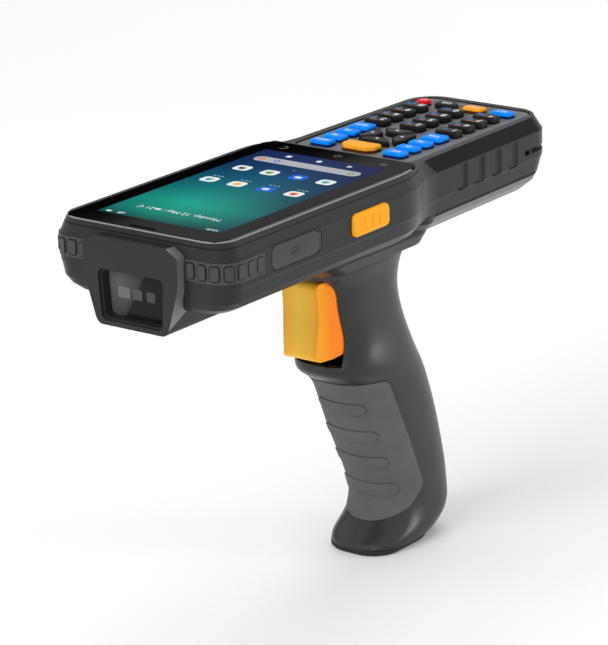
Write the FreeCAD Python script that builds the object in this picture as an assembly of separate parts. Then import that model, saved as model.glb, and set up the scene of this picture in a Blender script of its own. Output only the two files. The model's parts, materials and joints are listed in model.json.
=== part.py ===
import FreeCAD, Part
import math
import os

# Handheld data terminal with a keypad, a scanning nose and a pistol grip.
# Millimetres, +Z up, +Y from the scanning nose towards the keypad, +X towards the port cover.
# The origin is the centre of the sole that the grip stands on.

V = FreeCAD.Vector

# Overall places of the terminal above the grip
glass_height = 145.0
display_y = -114.5
display_length = 88.5
display_width = 49.8

# Body plan: wide display section, waist, narrower keypad section
body_half_width = 36.0
neck_half_width = 29.6
tail_half_width = 28.2
head_overhang = 11.0
shoulder_y = 90.0
waist_y = 106.0
body_end_y = 186.0
head_corner_r = 8.0
waist_r = 34.0
tail_corner_r = 11.0

# Body side profile
rim_inset = 2.9
rim_round = 0.4
bevel_depth = 6.0
parting_depth = 15.0
belly_depth = 20.0
belly_inset = 1.1
display_belly_depth = 24.7
keypad_belly_depth = 28.6
keypad_belly_start = 103.0
belly_overlap = 0.6
belly_step = 0.1
head_lean = 0.4
side_wall = 4.8
belly_wall = 7.4
floor_wall = 2.1
top_wall = 3.6
seam_inset = 0.35
keypad_rim_drop = 1.1
rim_step_gap = 0.7
rim_step_length = 1.3
rim_step_round = 0.1

# Display glass and module
glass_half_width = 31.6
glass_front = 9.2
glass_back = 98.8
glass_corner_r = 4.5
glass_thickness = 1.0
glass_gap = 0.12
module_thickness = 2.6
module_margin = 2.6
earpiece_length = 11.0
earpiece_width = 1.2
earpiece_y = 7.4

# Keypad panel, keys and membrane
panel_half_width = 24.4
panel_end_half_width = 23.4
panel_start = 101.2
panel_end = 181.2
panel_corner_r = 5.0
panel_drop = 1.5
panel_thickness = 1.3
panel_gap = 0.1
key_clearance = 0.2
key_flange = 0.6
key_flange_thickness = 0.6
key_seat_gap = 0.05
key_travel = 0.6
key_edge = 0.45
membrane_gap = 0.1
side_key_width = 8.4
side_key_length = 5.0
side_key_proud = 0.5
side_key_x = 15.3
side_key_y = 105.5
side_key_pitch = 7.45
long_key_length = 6.6
number_key_width = 9.2
number_key_length = 5.0
number_key_proud = 0.9
number_key_pitch_x = 15.1
number_key_pitch_y = 7.67
number_key_y = 137.3
last_row_y = 169.3
last_row_x = 17.6
last_row_pitch = 11.9
power_key_r = 2.5
key_corner_r = 1.3
scan_key_width = 13.6
scan_key_length = 6.6
scan_key_y = 105.4
scan_key_corner = 2.2
pad_centre_y = 124.6
pad_inner = 3.6
pad_outer = 8.6
pad_half_gap = 0.75
pad_corner_r = 1.2

# Board and what sits on it
board_thickness = 1.2
board_half_width = 23.0
board_tail_half_width = 19.0
board_start = 1.0
board_end = 178.0
board_depth = 6.9
board_post_r = 2.2
port_centre_y = 24.0
port_depth = 9.6

# Side port cover
cover_start = 12.0
cover_end = 36.2
cover_top = 5.9
cover_bottom = 13.6
cover_thickness = 1.4
cover_gap = 0.15
cover_corner_r = 2.2
cover_hinge_y = 37.0
cover_hinge_r = 0.55
cover_hinge_gap = 0.08
plug_width = 8.0
plug_height = 2.4
plug_length = 4.0

# Side buttons
button_start = 54.2
button_length = 19.5
button_top = 5.8
button_height = 7.7
button_corner_r = 2.0
button_proud = 1.5
button_gap = 0.15
button_flange = 0.9
button_flange_thickness = 1.2
button_chamfer = 0.7
rib_pitch = 4.0
rib_half_width = 0.4
rib_proud = 0.3
rib_end = 1.7

# Corner bumpers at the head
bumper_top = 6.2
bumper_bottom = 13.2
bumper_end = 7.8
bumper_recess = 1.2
bumper_proud = 0.35

# Scanning nose
hood_front = 14.6
hood_top = 3.0
hood_top_half_width = 14.8
hood_shoulder_depth = 5.7
hood_shoulder_half_width = 19.4
hood_middle_depth = 16.6
hood_middle_half_width = 18.8
hood_bottom_depth = 32.0
hood_bottom_half_width = 14.2
hood_bottom_r = 3.0
hood_pod_end = 21.0
hood_ramp_end = 36.0
hood_wall = 2.2
window_top = 14.6
window_bottom = 29.2
window_top_half_width = 12.2
window_bottom_half_width = 11.2
window_corner_r = 2.2
window_recess = 4.6
window_thickness = 1.2
engine_length = 14.0
engine_half_width = 10.4

# Battery and its cover
battery_seam_depth = 20.8
battery_start = 112.0
battery_half_width = 20.2
battery_length = 60.0
battery_thickness = 15.5
battery_corner_r = 8.0

# Scallops, strap slot and screws of the casing
scallop_count = 4
scallop_start = 127.6
scallop_pitch = 10.6
scallop_r = 6.0
scallop_cut = 0.9
scallop_top = 6.6
scallop_height = 9.0
strap_slot_start = 167.0
strap_slot_depth = 11.3
strap_slot_height = 1.8
strap_slot_cut = 4.5
strap_post_y = 170.0
strap_post_length = 1.0
case_screw_x = 26.6
case_screw_head_y = 2.0
case_screw_waist_y = 84.0
case_boss_r = 3.2
case_screw_r = 1.0
case_screw_head_r = 2.1
case_screw_head_depth = 2.2
screw_clearance = 0.15

# Collar between the body and the grip
collar_front = 58.0
collar_back = 14.0
collar_half_width = 20.0
collar_corner_r = 14.0
collar_bottom_z = 111.0
collar_foot_inset = 2.2
collar_wall = 3.2
collar_pocket_height = 6.5

# Grip: wall, trigger pocket and rubber
grip_wall = 2.6
grip_exponent = 2.5
rubber_depth = 1.4
rubber_proud = 0.3
loop_proud = 0.7
loop_count = 4
loop_height = 5.4
loop_first_z = 55.5
loop_pitch = 11.1
loop_first_y = -19.4
loop_lean = 5.4
nub_count = 5
nub_r = 2.2
nub_first_z = 72.7
nub_pitch_z = 11.3
nub_x = 6.0
nub_sink = 1.3

# Trigger and what works it
trigger_half_width = 9.3
trigger_side_gap = 0.35
trigger_top_z = 106.4
trigger_bottom_z = 78.5
trigger_front_y = -42.6
trigger_hollow = 1.0
trigger_wall = 2.4
trigger_back_y = -25.5
trigger_pivot_y = -27.5
trigger_pivot_z = 103.5
trigger_pin_r = 1.5
trigger_pin_gap = 0.05
trigger_pin_length = 25.0
trigger_boss_r = 3.6
trigger_corner_r = 3.0
pocket_bottom_z = 74.6
pocket_top_z = 107.6
pocket_back_y = -17.0
spring_r = 3.0
spring_bore_gap = 0.4
spring_half_width = 4.0
spring_room = 0.3
switch_front_y = -24.0
switch_length = 7.0
switch_height = 9.0
switch_half_width = 3.2
switch_z = 88.0
ledge_thickness = 3.0

# Sole of the grip
sole_front = 17.2
sole_half_width = 13.5
sole_thickness = 1.8
sole_edge = 0.6

# Grip side screws
grip_screw_r = 1.25
grip_screw_head_r = 2.4
grip_screw_head_depth = 1.6
grip_boss_r = 3.4
grip_screw_length = 9.0
grip_screw_seat = 11.0

glass_z = glass_height
head_y = display_y - head_overhang


def along(distance):
    """Y of a point that lies this far from the display's head-end edge."""
    return display_y + distance


def below(depth):
    """Z of a point that lies this deep under the glass face."""
    return glass_z - depth


def write(shape, name):
    shape.exportStep("parts/%s.step" % name)
    bounds = shape.BoundBox
    print("%-24s solids %2d volume %9.1f z %7.2f to %7.2f" %
          (name, len(shape.Solids), shape.Volume, bounds.ZMin, bounds.ZMax))


def box(x0, x1, y0, y1, z0, z1):
    return Part.makeBox(x1 - x0, y1 - y0, z1 - z0, V(x0, y0, z0))


def cylinder_x(radius, x0, x1, y, z):
    return Part.makeCylinder(radius, x1 - x0, V(x0, y, z), V(1, 0, 0))


def cylinder_z(radius, x, y, z0, z1):
    return Part.makeCylinder(radius, z1 - z0, V(x, y, z0), V(0, 0, 1))


def rounded_edges(corners):
    """Closed flat path through (point, radius) corners, with tangent arcs at the corners."""
    starts, mids, ends = [], [], []
    count = len(corners)
    for i in range(count):
        point, radius = corners[i]
        into = (corners[i - 1][0] - point).normalize()
        out = (corners[(i + 1) % count][0] - point).normalize()
        half = into.getAngle(out) / 2.0
        reach = radius / math.tan(half)
        centre = point + (into + out).normalize() * (radius / math.sin(half))
        starts.append(point + into * reach)
        ends.append(point + out * reach)
        mids.append(centre + (point - centre).normalize() * radius)
    edges = []
    for i in range(count):
        edges.append(Part.Arc(starts[i], mids[i], ends[i]).toShape())
        edges.append(Part.LineSegment(ends[i], starts[(i + 1) % count]).toShape())
    return edges


def ring_xy(corners, z):
    """Wire at height z through (x, y, radius) corners."""
    return Part.Wire(rounded_edges([(V(x, y, z), r) for x, y, r in corners]))


def prism_xy(corners, z0, z1):
    return Part.Face(ring_xy(corners, z0)).extrude(V(0, 0, z1 - z0))


def prism_xz(corners, y0, y1):
    wire = Part.Wire(rounded_edges([(V(x, y0, z), r) for x, z, r in corners]))
    return Part.Face(wire).extrude(V(0, y1 - y0, 0))


def prism_yz(corners, x0, x1):
    wire = Part.Wire(rounded_edges([(V(x0, y, z), r) for y, z, r in corners]))
    return Part.Face(wire).extrude(V(x1 - x0, 0, 0))


def rectangle(x0, x1, y0, y1, radius):
    return [(x0, y0, radius), (x1, y0, radius), (x1, y1, radius), (x0, y1, radius)]


def mirrored(right_side):
    """Corners of the right side, followed by their mirror images."""
    return right_side + [(-x, y, r) for x, y, r in reversed(right_side)]


def fused(shapes):
    return shapes[0].fuse(shapes[1:]).removeSplitter()


def mirror_x(shape):
    return shape.mirror(V(0, 0, 0), V(1, 0, 0))


# Body blank


def body_outline(inset, head_inset=None):
    """Plan of the whole body, drawn in by the inset."""
    front = head_lean * inset if head_inset is None else head_inset
    return mirrored([
        (body_half_width - inset, head_y + front, head_corner_r),
        (body_half_width - inset, along(shoulder_y), waist_r),
        (neck_half_width - inset, along(waist_y), waist_r),
        (tail_half_width - inset, along(body_end_y) - inset, tail_corner_r)])


def keypad_outline(inset):
    """Plan of the keypad section alone, which hangs lower than the display section."""
    return mirrored([
        (neck_half_width - inset, along(keypad_belly_start) + inset, tail_corner_r / 2),
        (tail_half_width - inset, along(body_end_y) - inset, tail_corner_r)])


def ringed_loft(outline, levels):
    """Ruled body through an outline at (depth, inset) levels."""
    wires = [ring_xy(outline(inset), below(depth)) for depth, inset in levels]
    return Part.makeLoft(wires, True, True)


def body_blank():
    """Outside of the casing: bevelled top, upright sides, rounded belly."""
    top = ringed_loft(body_outline, [
        (0.0, rim_inset),
        (rim_round, rim_inset - rim_round),
        (bevel_depth - 1.0, 0.5),
        (bevel_depth, 0.0),
        (parting_depth, 0.0),
        (parting_depth + 1.0, seam_inset),
        (belly_depth, belly_inset)])
    display_drop = display_belly_depth - belly_depth
    display_belly = ringed_loft(body_outline, [
        (belly_depth, belly_inset),
        (belly_depth + display_drop * 0.5, belly_inset + display_drop * 0.4),
        (belly_depth + display_drop * 0.85, belly_inset + display_drop),
        (display_belly_depth, belly_inset + display_drop * 1.8)])
    keypad_drop = keypad_belly_depth - belly_depth
    keypad_belly = ringed_loft(keypad_outline, [
        (belly_depth - belly_overlap, belly_inset + belly_step),
        (belly_depth + belly_overlap, belly_inset + belly_step),
        (belly_depth + keypad_drop * 0.45, belly_inset + keypad_drop * 0.15),
        (belly_depth + keypad_drop * 0.8, belly_inset + keypad_drop * 0.5),
        (keypad_belly_depth, belly_inset + keypad_drop * 0.95)])
    return fused([top, display_belly, keypad_belly]).cut(keypad_relief())


def keypad_relief():
    """Room above the keypad section, whose rim lies lower than the glass."""
    start = along(glass_back + rim_step_gap)
    end = along(body_end_y) + head_overhang
    high = glass_z + head_overhang
    return prism_yz([
        (start, high, rim_step_round),
        (start, glass_z, rim_step_round),
        (start + rim_step_length, below(keypad_rim_drop), rim_step_round),
        (end, below(keypad_rim_drop), rim_step_round),
        (end, high, rim_step_round)], -2 * body_half_width, 2 * body_half_width)


def body_hollow():
    """Room inside the casing."""
    upper = prism_xy(body_outline(side_wall, side_wall), below(display_belly_depth - floor_wall),
                     below(top_wall))
    lower = prism_xy(keypad_outline(belly_wall), below(keypad_belly_depth - floor_wall),
                     below(belly_depth))
    return upper.fuse(lower)


# Keypad


def panel_outline(grow):
    return mirrored([
        (panel_half_width + grow, along(panel_start) - grow, panel_corner_r),
        (panel_end_half_width + grow, along(panel_end) + grow, panel_corner_r)])


def key_rows():
    """Every key as name, plan corners as a function of the growth, and height above the glass."""
    keys = []

    def block(name, x, y, width, length, proud, radius):
        def corners(grow):
            return rectangle(x - width / 2 - grow, x + width / 2 + grow,
                             along(y) - grow, along(y + length) + grow, radius + grow)
        keys.append((name, corners, proud))

    side_names = ["escape", "camera", "page_up", "tab"], ["menu", "home", "page_down", "enter"]
    for side, names in zip((1, -1), side_names):
        for row, name in enumerate(names):
            length = long_key_length if row == 3 else side_key_length
            block("key_" + name, side * side_key_x, side_key_y + row * side_key_pitch,
                  side_key_width, length, side_key_proud, key_corner_r)
    number_names = ["1", "2", "3", "4", "5", "6", "7", "8", "9", "star", "0", "hash"]
    for index, name in enumerate(number_names):
        column = 1 - index % 3
        row = index // 3
        block("key_" + name, column * number_key_pitch_x, number_key_y + row * number_key_pitch_y,
              number_key_width, number_key_length, number_key_proud, key_corner_r)
    for index, name in enumerate(["blue", "orange", "backspace"]):
        block("key_" + name, last_row_x - index * last_row_pitch - side_key_width * 0.18, last_row_y,
              side_key_width, side_key_length * 0.9, side_key_proud, key_corner_r)

    def scan_corners(grow):
        half = scan_key_width / 2 + grow
        y0 = along(scan_key_y) - grow
        y1 = along(scan_key_y + scan_key_length) + grow
        cut = scan_key_corner
        return mirrored([(half - cut, y0, 0.8), (half, y0 + cut, 0.8), (half, y1, 0.8)])

    keys.append(("key_scan", scan_corners, number_key_proud))

    def petal(turn):
        def corners(grow):
            inner = pad_inner - grow
            outer = pad_outer + grow
            slack = pad_half_gap * math.sqrt(2.0) - grow * math.sqrt(2.0)
            points = [(inner - slack, inner), (outer - slack, outer),
                      (-(outer - slack), outer), (-(inner - slack), inner)]
            cosine, sine = round(math.cos(turn)), round(math.sin(turn))
            return [(x * cosine - y * sine, along(pad_centre_y) + x * sine + y * cosine, pad_corner_r)
                    for x, y in points]
        return corners

    for name, quarter in (("down", 0), ("left", 1), ("up", 2), ("right", 3)):
        keys.append(("key_" + name, petal(quarter * math.pi / 2), side_key_proud))
    return keys


def edges_at(shape, z):
    return [edge for edge in shape.Edges
            if abs(edge.BoundBox.ZMin - z) < 0.001 and abs(edge.BoundBox.ZMax - z) < 0.001]


def make_keys():
    """Keys: a bevelled cap through the panel, over a flange that keeps it in."""
    flange_top = below(panel_drop + panel_thickness + key_seat_gap)
    flange_bottom = flange_top - key_flange_thickness
    for name, corners, proud in key_rows():
        cap = prism_xy(corners(0.0), flange_bottom, glass_z + proud)
        cap = cap.makeChamfer(key_edge, edges_at(cap, glass_z + proud))
        flange = prism_xy(corners(key_flange), flange_bottom, flange_top)
        write(cap.fuse(flange).removeSplitter(), name)
    y = along(last_row_y + side_key_length * 0.4)
    x = power_key_x()
    cap = cylinder_z(power_key_r, x, y, flange_bottom, glass_z + side_key_proud)
    cap = cap.makeFillet(key_edge, edges_at(cap, glass_z + side_key_proud))
    flange = cylinder_z(power_key_r + key_flange, x, y, flange_bottom, flange_top)
    write(cap.fuse(flange).removeSplitter(), "key_power")


def power_key_x():
    return last_row_x - 3 * last_row_pitch + 0.8


def make_keypad_panel():
    """Plate that frames the keys."""
    top = below(panel_drop)
    bottom = top - panel_thickness
    panel = prism_xy(panel_outline(0.0), bottom, top)
    holes = [prism_xy(corners(key_clearance), bottom - 1, top + 1) for _, corners, _ in key_rows()]
    holes.append(cylinder_z(power_key_r + key_clearance, power_key_x(),
                            along(last_row_y + side_key_length * 0.4), bottom - 1, top + 1))
    write(panel.cut(holes), "keypad_panel")


def membrane_top_depth():
    return (panel_drop + panel_thickness + key_seat_gap + key_flange_thickness
            + key_travel + membrane_gap)


def make_keypad_membrane():
    """Rubber mat under the keys, on the board."""
    inset = 4.6
    mat = prism_xy(panel_outline(-inset), below(board_depth), below(membrane_top_depth()))
    write(mat, "keypad_membrane")


# Body shells


def hood_corners(grow, bottom_depth):
    """Front view of the scanning nose, drawn in or out."""
    return [
        (hood_top_half_width + grow, below(hood_top) + grow, 0.6),
        (hood_shoulder_half_width + grow, below(hood_shoulder_depth), 1.2),
        (hood_middle_half_width + grow, below(hood_middle_depth), 6.0),
        (hood_bottom_half_width + grow, below(bottom_depth) - grow, hood_bottom_r)]


def symmetric_xz(right_side):
    return right_side + [(-x, z, r) for x, z, r in reversed(right_side)]


def window_corners(grow):
    return symmetric_xz([
        (window_top_half_width + grow, below(window_top) + grow, window_corner_r),
        (window_bottom_half_width + grow, below(window_bottom) - grow, window_corner_r)])


def engine_room():
    """Passage from the window through the head wall for the scan engine."""
    return prism_xz(window_corners(0.6), head_y - 8, along(hood_pod_end) - hood_wall)


def bumper_region():
    """Band around both head corners, between the nose and the end on each side."""
    wide = body_half_width + 5
    low, high = below(bumper_bottom), below(bumper_top)
    reach = hood_shoulder_half_width + 0.3
    right = box(reach, wide, head_y - 5, along(bumper_end), low, high)
    return right, mirror_x(right)


def bumper_band():
    outside = prism_xy(body_outline(-bumper_proud), below(bumper_bottom), below(bumper_top))
    inside = prism_xy(body_outline(bumper_recess, bumper_recess), below(bumper_bottom) - 1,
                      below(bumper_top) + 1)
    return outside.cut(inside)


def button_corners(grow):
    y0, y1 = along(button_start), along(button_start + button_length)
    return rectangle(y0 - grow, y1 + grow, below(button_top + button_height) - grow,
                     below(button_top) + grow, button_corner_r + grow)


def cover_corners(grow):
    return rectangle(along(cover_start) - grow, along(cover_end) + grow,
                     below(cover_bottom) - grow, below(cover_top) + grow, cover_corner_r + grow)


def scallops():
    """Shallow upright hollows for the fingers along each side of the keypad section."""
    cuts = []
    for index in range(scallop_count):
        y = along(scallop_start + index * scallop_pitch)
        lean = (neck_half_width - tail_half_width) / (body_end_y - waist_y)
        side = neck_half_width - lean * (y - along(waist_y))
        for sign in (1, -1):
            x = sign * (side - scallop_cut + scallop_r)
            cuts.append(cylinder_z(scallop_r, x, y, below(scallop_top + scallop_height),
                                   below(scallop_top)))
    return cuts


def strap_slots():
    """Slot around each corner of the keypad end, with the post that a strap loops over."""
    outer = prism_xy(body_outline(-1.0), below(strap_slot_depth + strap_slot_height),
                     below(strap_slot_depth))
    inner = prism_xy(body_outline(strap_slot_cut * 0.7, 1.0),
                     below(strap_slot_depth + strap_slot_height) - 1, below(strap_slot_depth) + 1)
    band = outer.cut(inner)
    low, high = below(strap_slot_depth + strap_slot_height) - 1, below(strap_slot_depth) + 1
    right = box(tail_half_width - 2 * strap_slot_cut, body_half_width,
                along(strap_slot_start), along(body_end_y) + 2, low, high)
    post = box(tail_half_width - 2 * strap_slot_cut - 1, body_half_width + 1,
               along(strap_post_y), along(strap_post_y) + strap_post_length, low - 1, high + 1)
    region = right.cut(post)
    return band.common(region.fuse(mirror_x(region)))


def case_screw_places():
    return [(sign * case_screw_x, along(y)) for sign in (1, -1)
            for y in (case_screw_head_y, case_screw_waist_y)]


def make_front_housing(blank, hollow):
    """Upper half of the casing, with seats for the glass, the panel and everything at the sides."""
    upper = box(-60, 60, -200, 200, below(parting_depth), glass_z + 1)
    bosses = [cylinder_z(case_boss_r, x, y, below(parting_depth), below(top_wall))
              for x, y in case_screw_places()]
    shell = blank.common(upper).cut(hollow).fuse(bosses).cut(front_housing_cuts())
    right, left = bumper_region()
    shell = shell.cut(bumper_band().common(right.fuse(left)))
    write(largest_solid(shell), "front_housing")


def front_housing_cuts():
    seat = rectangle(-glass_half_width - glass_gap, glass_half_width + glass_gap,
                     along(-glass_front) - glass_gap, along(glass_back) + glass_gap, glass_corner_r)
    module = rectangle(-module_half_width() - glass_gap, module_half_width() + glass_gap,
                       along(-module_margin) - glass_gap,
                       along(display_length + module_margin) + glass_gap, 1.0)
    cuts = [prism_xy(seat, below(glass_thickness), glass_z + 1),
            prism_xy(module, below(glass_thickness + module_thickness + glass_gap), glass_z),
            prism_xy(panel_outline(panel_gap), below(panel_drop + panel_thickness), glass_z + 1),
            prism_xy(panel_outline(-2.0), below(parting_depth) - 1, glass_z),
            engine_room(),
            strap_slots()]
    cuts += scallops()
    for x, y in case_screw_places():
        cuts.append(cylinder_z(case_screw_r, x, y, below(parting_depth), below(top_wall + 2)))
    side = body_half_width
    for sign in (1, -1):
        hole = prism_yz(button_corners(button_gap), side - side_wall - 1, side + 3)
        cuts.append(hole if sign == 1 else mirror_x(hole))
    cuts.append(prism_yz(cover_corners(cover_gap), side - cover_thickness - 0.1, side + 1))
    hinge_x = cover_hinge_x()
    cuts.append(cylinder_z(cover_hinge_r + cover_hinge_gap, hinge_x, along(cover_hinge_y),
                           below(cover_bottom - 0.9), below(cover_top + 0.9)))
    cuts.append(box(hinge_x - cover_hinge_r, side + 1, along(cover_end) - 1, along(cover_hinge_y),
                    below(cover_bottom - 0.9), below(cover_top + 0.9)))
    half = plug_width / 2 + 0.3
    cuts.append(box(side - side_wall - 2, side, along(port_centre_y) - half - 0.5,
                    along(port_centre_y) + half, below(port_depth) - plug_height / 2 - 0.3,
                    below(port_depth) + plug_height / 2 + 0.3))
    return cuts


def largest_solid(shape):
    """Main body of a cut result, without chips that the cuts leave."""
    return max(shape.Solids, key=lambda solid: solid.Volume)


def battery_region():
    """Everything that belongs to the battery cover."""
    return box(-60, 60, along(battery_start), along(body_end_y) + 5,
               below(keypad_belly_depth + 5), below(battery_seam_depth))


def make_rear_housing(blank, hollow):
    """Lower half of the casing, open under the keypad for the battery."""
    lower = box(-60, 60, -200, 200, below(60), below(parting_depth))
    shell = blank.common(lower).cut(hollow)
    floor = below(display_belly_depth - floor_wall)
    posts = [cylinder_z(case_boss_r, x, y, floor - 0.5, below(parting_depth))
             for x, y in case_screw_places()]
    posts += [cylinder_z(board_post_r, x, y, floor - 0.5, below(board_depth + board_thickness))
              for x, y in board_post_places()]
    shell = shell.fuse(posts)
    cuts = [battery_region(), engine_room(), strap_slots()]
    cuts += scallops()
    for x, y in case_screw_places():
        cuts.append(cylinder_z(case_screw_r + screw_clearance, x, y, below(60), glass_z))
        cuts.append(cylinder_z(case_screw_head_r + screw_clearance, x, y, below(60),
                               below(display_belly_depth) + case_screw_head_depth))
    write(largest_solid(shell.cut(cuts)), "rear_housing")


def board_post_places():
    return [(sign * 17.0, along(y)) for sign in (1, -1) for y in (46.0, 92.0)]


def make_battery_cover(blank, hollow):
    cover = blank.common(battery_region()).cut(hollow)
    write(largest_solid(cover), "battery_cover")


def make_housing_screws():
    """Four screws from below, through the rear casing into the front casing."""
    screws = []
    for x, y in case_screw_places():
        head_top = below(display_belly_depth) + case_screw_head_depth
        shank = cylinder_z(case_screw_r, x, y, head_top, below(top_wall + 4))
        head = cylinder_z(case_screw_head_r, x, y, head_top - 1.4, head_top)
        recess = cylinder_z(0.8, x, y, head_top - 1.4, head_top - 0.7)
        screws.append(shank.fuse(head).cut(recess))
    write(Part.makeCompound(screws), "housing_screws")


# Display


def module_half_width():
    return display_width / 2 + module_margin


def make_display():
    """Cover glass with an earpiece slot, and the display module bonded beneath it."""
    glass = prism_xy(rectangle(-glass_half_width, glass_half_width, along(-glass_front),
                               along(glass_back), glass_corner_r), below(glass_thickness), glass_z)
    glass = glass.makeChamfer(0.25, edges_at(glass, glass_z))
    slot = prism_xy(rectangle(-earpiece_length / 2, earpiece_length / 2,
                              along(-earpiece_y) - earpiece_width / 2,
                              along(-earpiece_y) + earpiece_width / 2, earpiece_width * 0.45),
                    below(glass_thickness * 0.5), glass_z + 1)
    write(glass.cut(slot), "display_glass")
    module = prism_xy(rectangle(-module_half_width(), module_half_width(), along(-module_margin),
                                along(display_length + module_margin), 0.8),
                      below(glass_thickness + module_thickness), below(glass_thickness))
    write(module, "display_module")


# Board, port, speaker and battery


def make_main_board():
    """Circuit board with its larger components."""
    top = below(board_depth)
    corners = mirrored([(board_half_width, along(board_start), 1.5),
                        (board_half_width, along(waist_y - 8), 1.5),
                        (board_tail_half_width, along(waist_y), 1.5),
                        (board_tail_half_width, along(board_end), 1.5)])
    board = prism_xy(corners, top - board_thickness, top)
    chips = [box(-9, 5, along(52), along(66), top - board_thickness - 1.4, top - board_thickness),
             box(-8, 4, along(70), along(80), top - board_thickness - 1.1, top - board_thickness),
             box(8, 14, along(56), along(64), top - board_thickness - 1.6, top - board_thickness)]
    write(board.fuse(chips).removeSplitter(), "main_board")


def make_port_receptacle():
    """Metal shell of the port, under the edge of the board."""
    top = below(board_depth + board_thickness)
    half = plug_width / 2 + 0.8
    mouth = body_half_width - side_wall
    bottom = below(port_depth) - plug_height / 2 - 0.8
    shell = box(mouth - 8, mouth, along(port_centre_y) - half, along(port_centre_y) + half, bottom, top)
    hole = box(mouth - 6, mouth + 1, along(port_centre_y) - half + 0.4,
               along(port_centre_y) + half - 0.4, below(port_depth) - plug_height / 2 - 0.3,
               below(port_depth) + plug_height / 2 + 0.3)
    tongue = box(mouth - 6, mouth - 2, along(port_centre_y) - 3, along(port_centre_y) + 3,
                 below(port_depth) - 0.35, below(port_depth) + 0.35)
    write(shell.cut(hole).fuse(tongue).removeSplitter(), "port_receptacle")


def make_loudspeaker():
    floor = below(display_belly_depth - floor_wall)
    case = box(-10, 10, along(26), along(40), floor, floor + 4.2)
    cone = cylinder_z(5.0, 0, along(33), floor + 3.2, floor + 5)
    write(case.cut(cone), "loudspeaker")


def make_battery():
    """Battery pack on the floor of its cover."""
    bottom = below(keypad_belly_depth - floor_wall)
    pack = prism_xy(rectangle(-battery_half_width, battery_half_width, along(battery_start) + 4,
                              along(battery_start) + 4 + battery_length, battery_corner_r),
                    bottom, bottom + battery_thickness)
    write(pack, "battery_pack")


# Scanning nose


def make_scan_hood(blank):
    """Nose cover: upright front, window opening, and a pod that runs back under the head."""
    front = head_y - (hood_front - head_overhang)
    outer = prism_xz(symmetric_xz(hood_corners(0.0, hood_bottom_depth)), front, along(hood_pod_end))
    ramp_back = symmetric_xz(hood_corners(-3.0, display_belly_depth))
    start = Part.Wire(rounded_edges([(V(x, along(hood_pod_end), z), r) for x, z, r in
                                     symmetric_xz(hood_corners(0.0, hood_bottom_depth))]))
    end = Part.Wire(rounded_edges([(V(x, along(hood_ramp_end), z), r) for x, z, r in ramp_back]))
    ramp = Part.makeLoft([start, end], True, True)
    solid = outer.fuse(ramp).cut(blank)
    keep = box(-60, 60, front - 1, along(hood_ramp_end) + 1, below(60), below(hood_top) + 1)
    solid = solid.common(keep).cut(engine_room())
    mouth = prism_xz(window_corners(1.2), front - 1, front + 1.2)
    write(largest_solid(solid.cut(mouth)), "scan_hood")


def make_scan_window():
    """Dark window set back in the nose."""
    front = head_y - (hood_front - head_overhang) + window_recess
    pane = prism_xz(window_corners(0.5), front, front + window_thickness)
    write(pane, "scan_window")


def make_scan_engine():
    """Scan engine on the floor of the pod, with its lenses behind the window."""
    front = head_y - (hood_front - head_overhang) + window_recess + window_thickness + 0.6
    floor = below(window_bottom) - 0.6
    body = box(-engine_half_width, engine_half_width, front, front + engine_length, floor, floor + 12.0)
    lens_z = floor + 7.5
    lens = Part.makeCylinder(3.0, 1.2, V(0, front - 0.01, lens_z), V(0, 1, 0))
    cuts = [lens]
    for sign in (1, -1):
        cuts.append(box(sign * 7 - 2, sign * 7 + 2, front - 1, front + 0.8, lens_z - 2, lens_z + 2))
    write(body.cut(cuts), "scan_engine")


def make_corner_bumpers():
    band = bumper_band()
    right, left = bumper_region()
    write(largest_solid(band.common(right)), "corner_bumper_right")
    write(largest_solid(band.common(left)), "corner_bumper_left")


# Side cover and side buttons


def cover_hinge_x():
    return body_half_width - 0.4


def make_port_cover():
    """Rubber cover with its plug, on a tether at its rear end."""
    side = body_half_width
    plate = prism_yz(cover_corners(0.0), side - cover_thickness, side)
    half = plug_width / 2
    plug = box(side - cover_thickness - plug_length, side - cover_thickness,
               along(port_centre_y) - half, along(port_centre_y) + half,
               below(port_depth) - plug_height / 2, below(port_depth) + plug_height / 2)
    tether = cylinder_z(cover_hinge_r, cover_hinge_x(), along(cover_hinge_y),
                        below(cover_bottom - 1.0), below(cover_top + 1.0))
    web = box(cover_hinge_x() - 0.4, cover_hinge_x() + 0.4, along(cover_end) - 0.5,
              along(cover_hinge_y), below(cover_bottom - 1.0), below(cover_top + 1.0))
    write(fused([plate, plug, tether, web]), "port_cover")


def make_side_buttons():
    """Scan buttons, one at each side, kept in by a flange behind the wall."""
    inner = body_half_width - side_wall
    outer = body_half_width + button_proud
    cap = prism_yz(button_corners(0.0), inner - 0.2, outer)
    rim = [edge for edge in cap.Edges
           if abs(edge.BoundBox.XMin - outer) < 0.001 and abs(edge.BoundBox.XMax - outer) < 0.001]
    cap = cap.makeChamfer(button_chamfer, rim)
    flange = prism_yz(button_corners(button_flange), inner - key_seat_gap - button_flange_thickness,
                      inner - key_seat_gap)
    button = cap.fuse(flange).removeSplitter()
    ribs = []
    for step in (-1, 0, 1):
        y = along(button_start + button_length / 2 + step * rib_pitch)
        ribs.append(box(outer - rib_proud, outer + rib_proud, y - rib_half_width, y + rib_half_width,
                        below(button_top + button_height - rib_end), below(button_top + rib_end)))
    button = fused([button] + ribs)
    write(button, "side_button_right")
    write(mirror_x(button), "side_button_left")


# Grip


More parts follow.
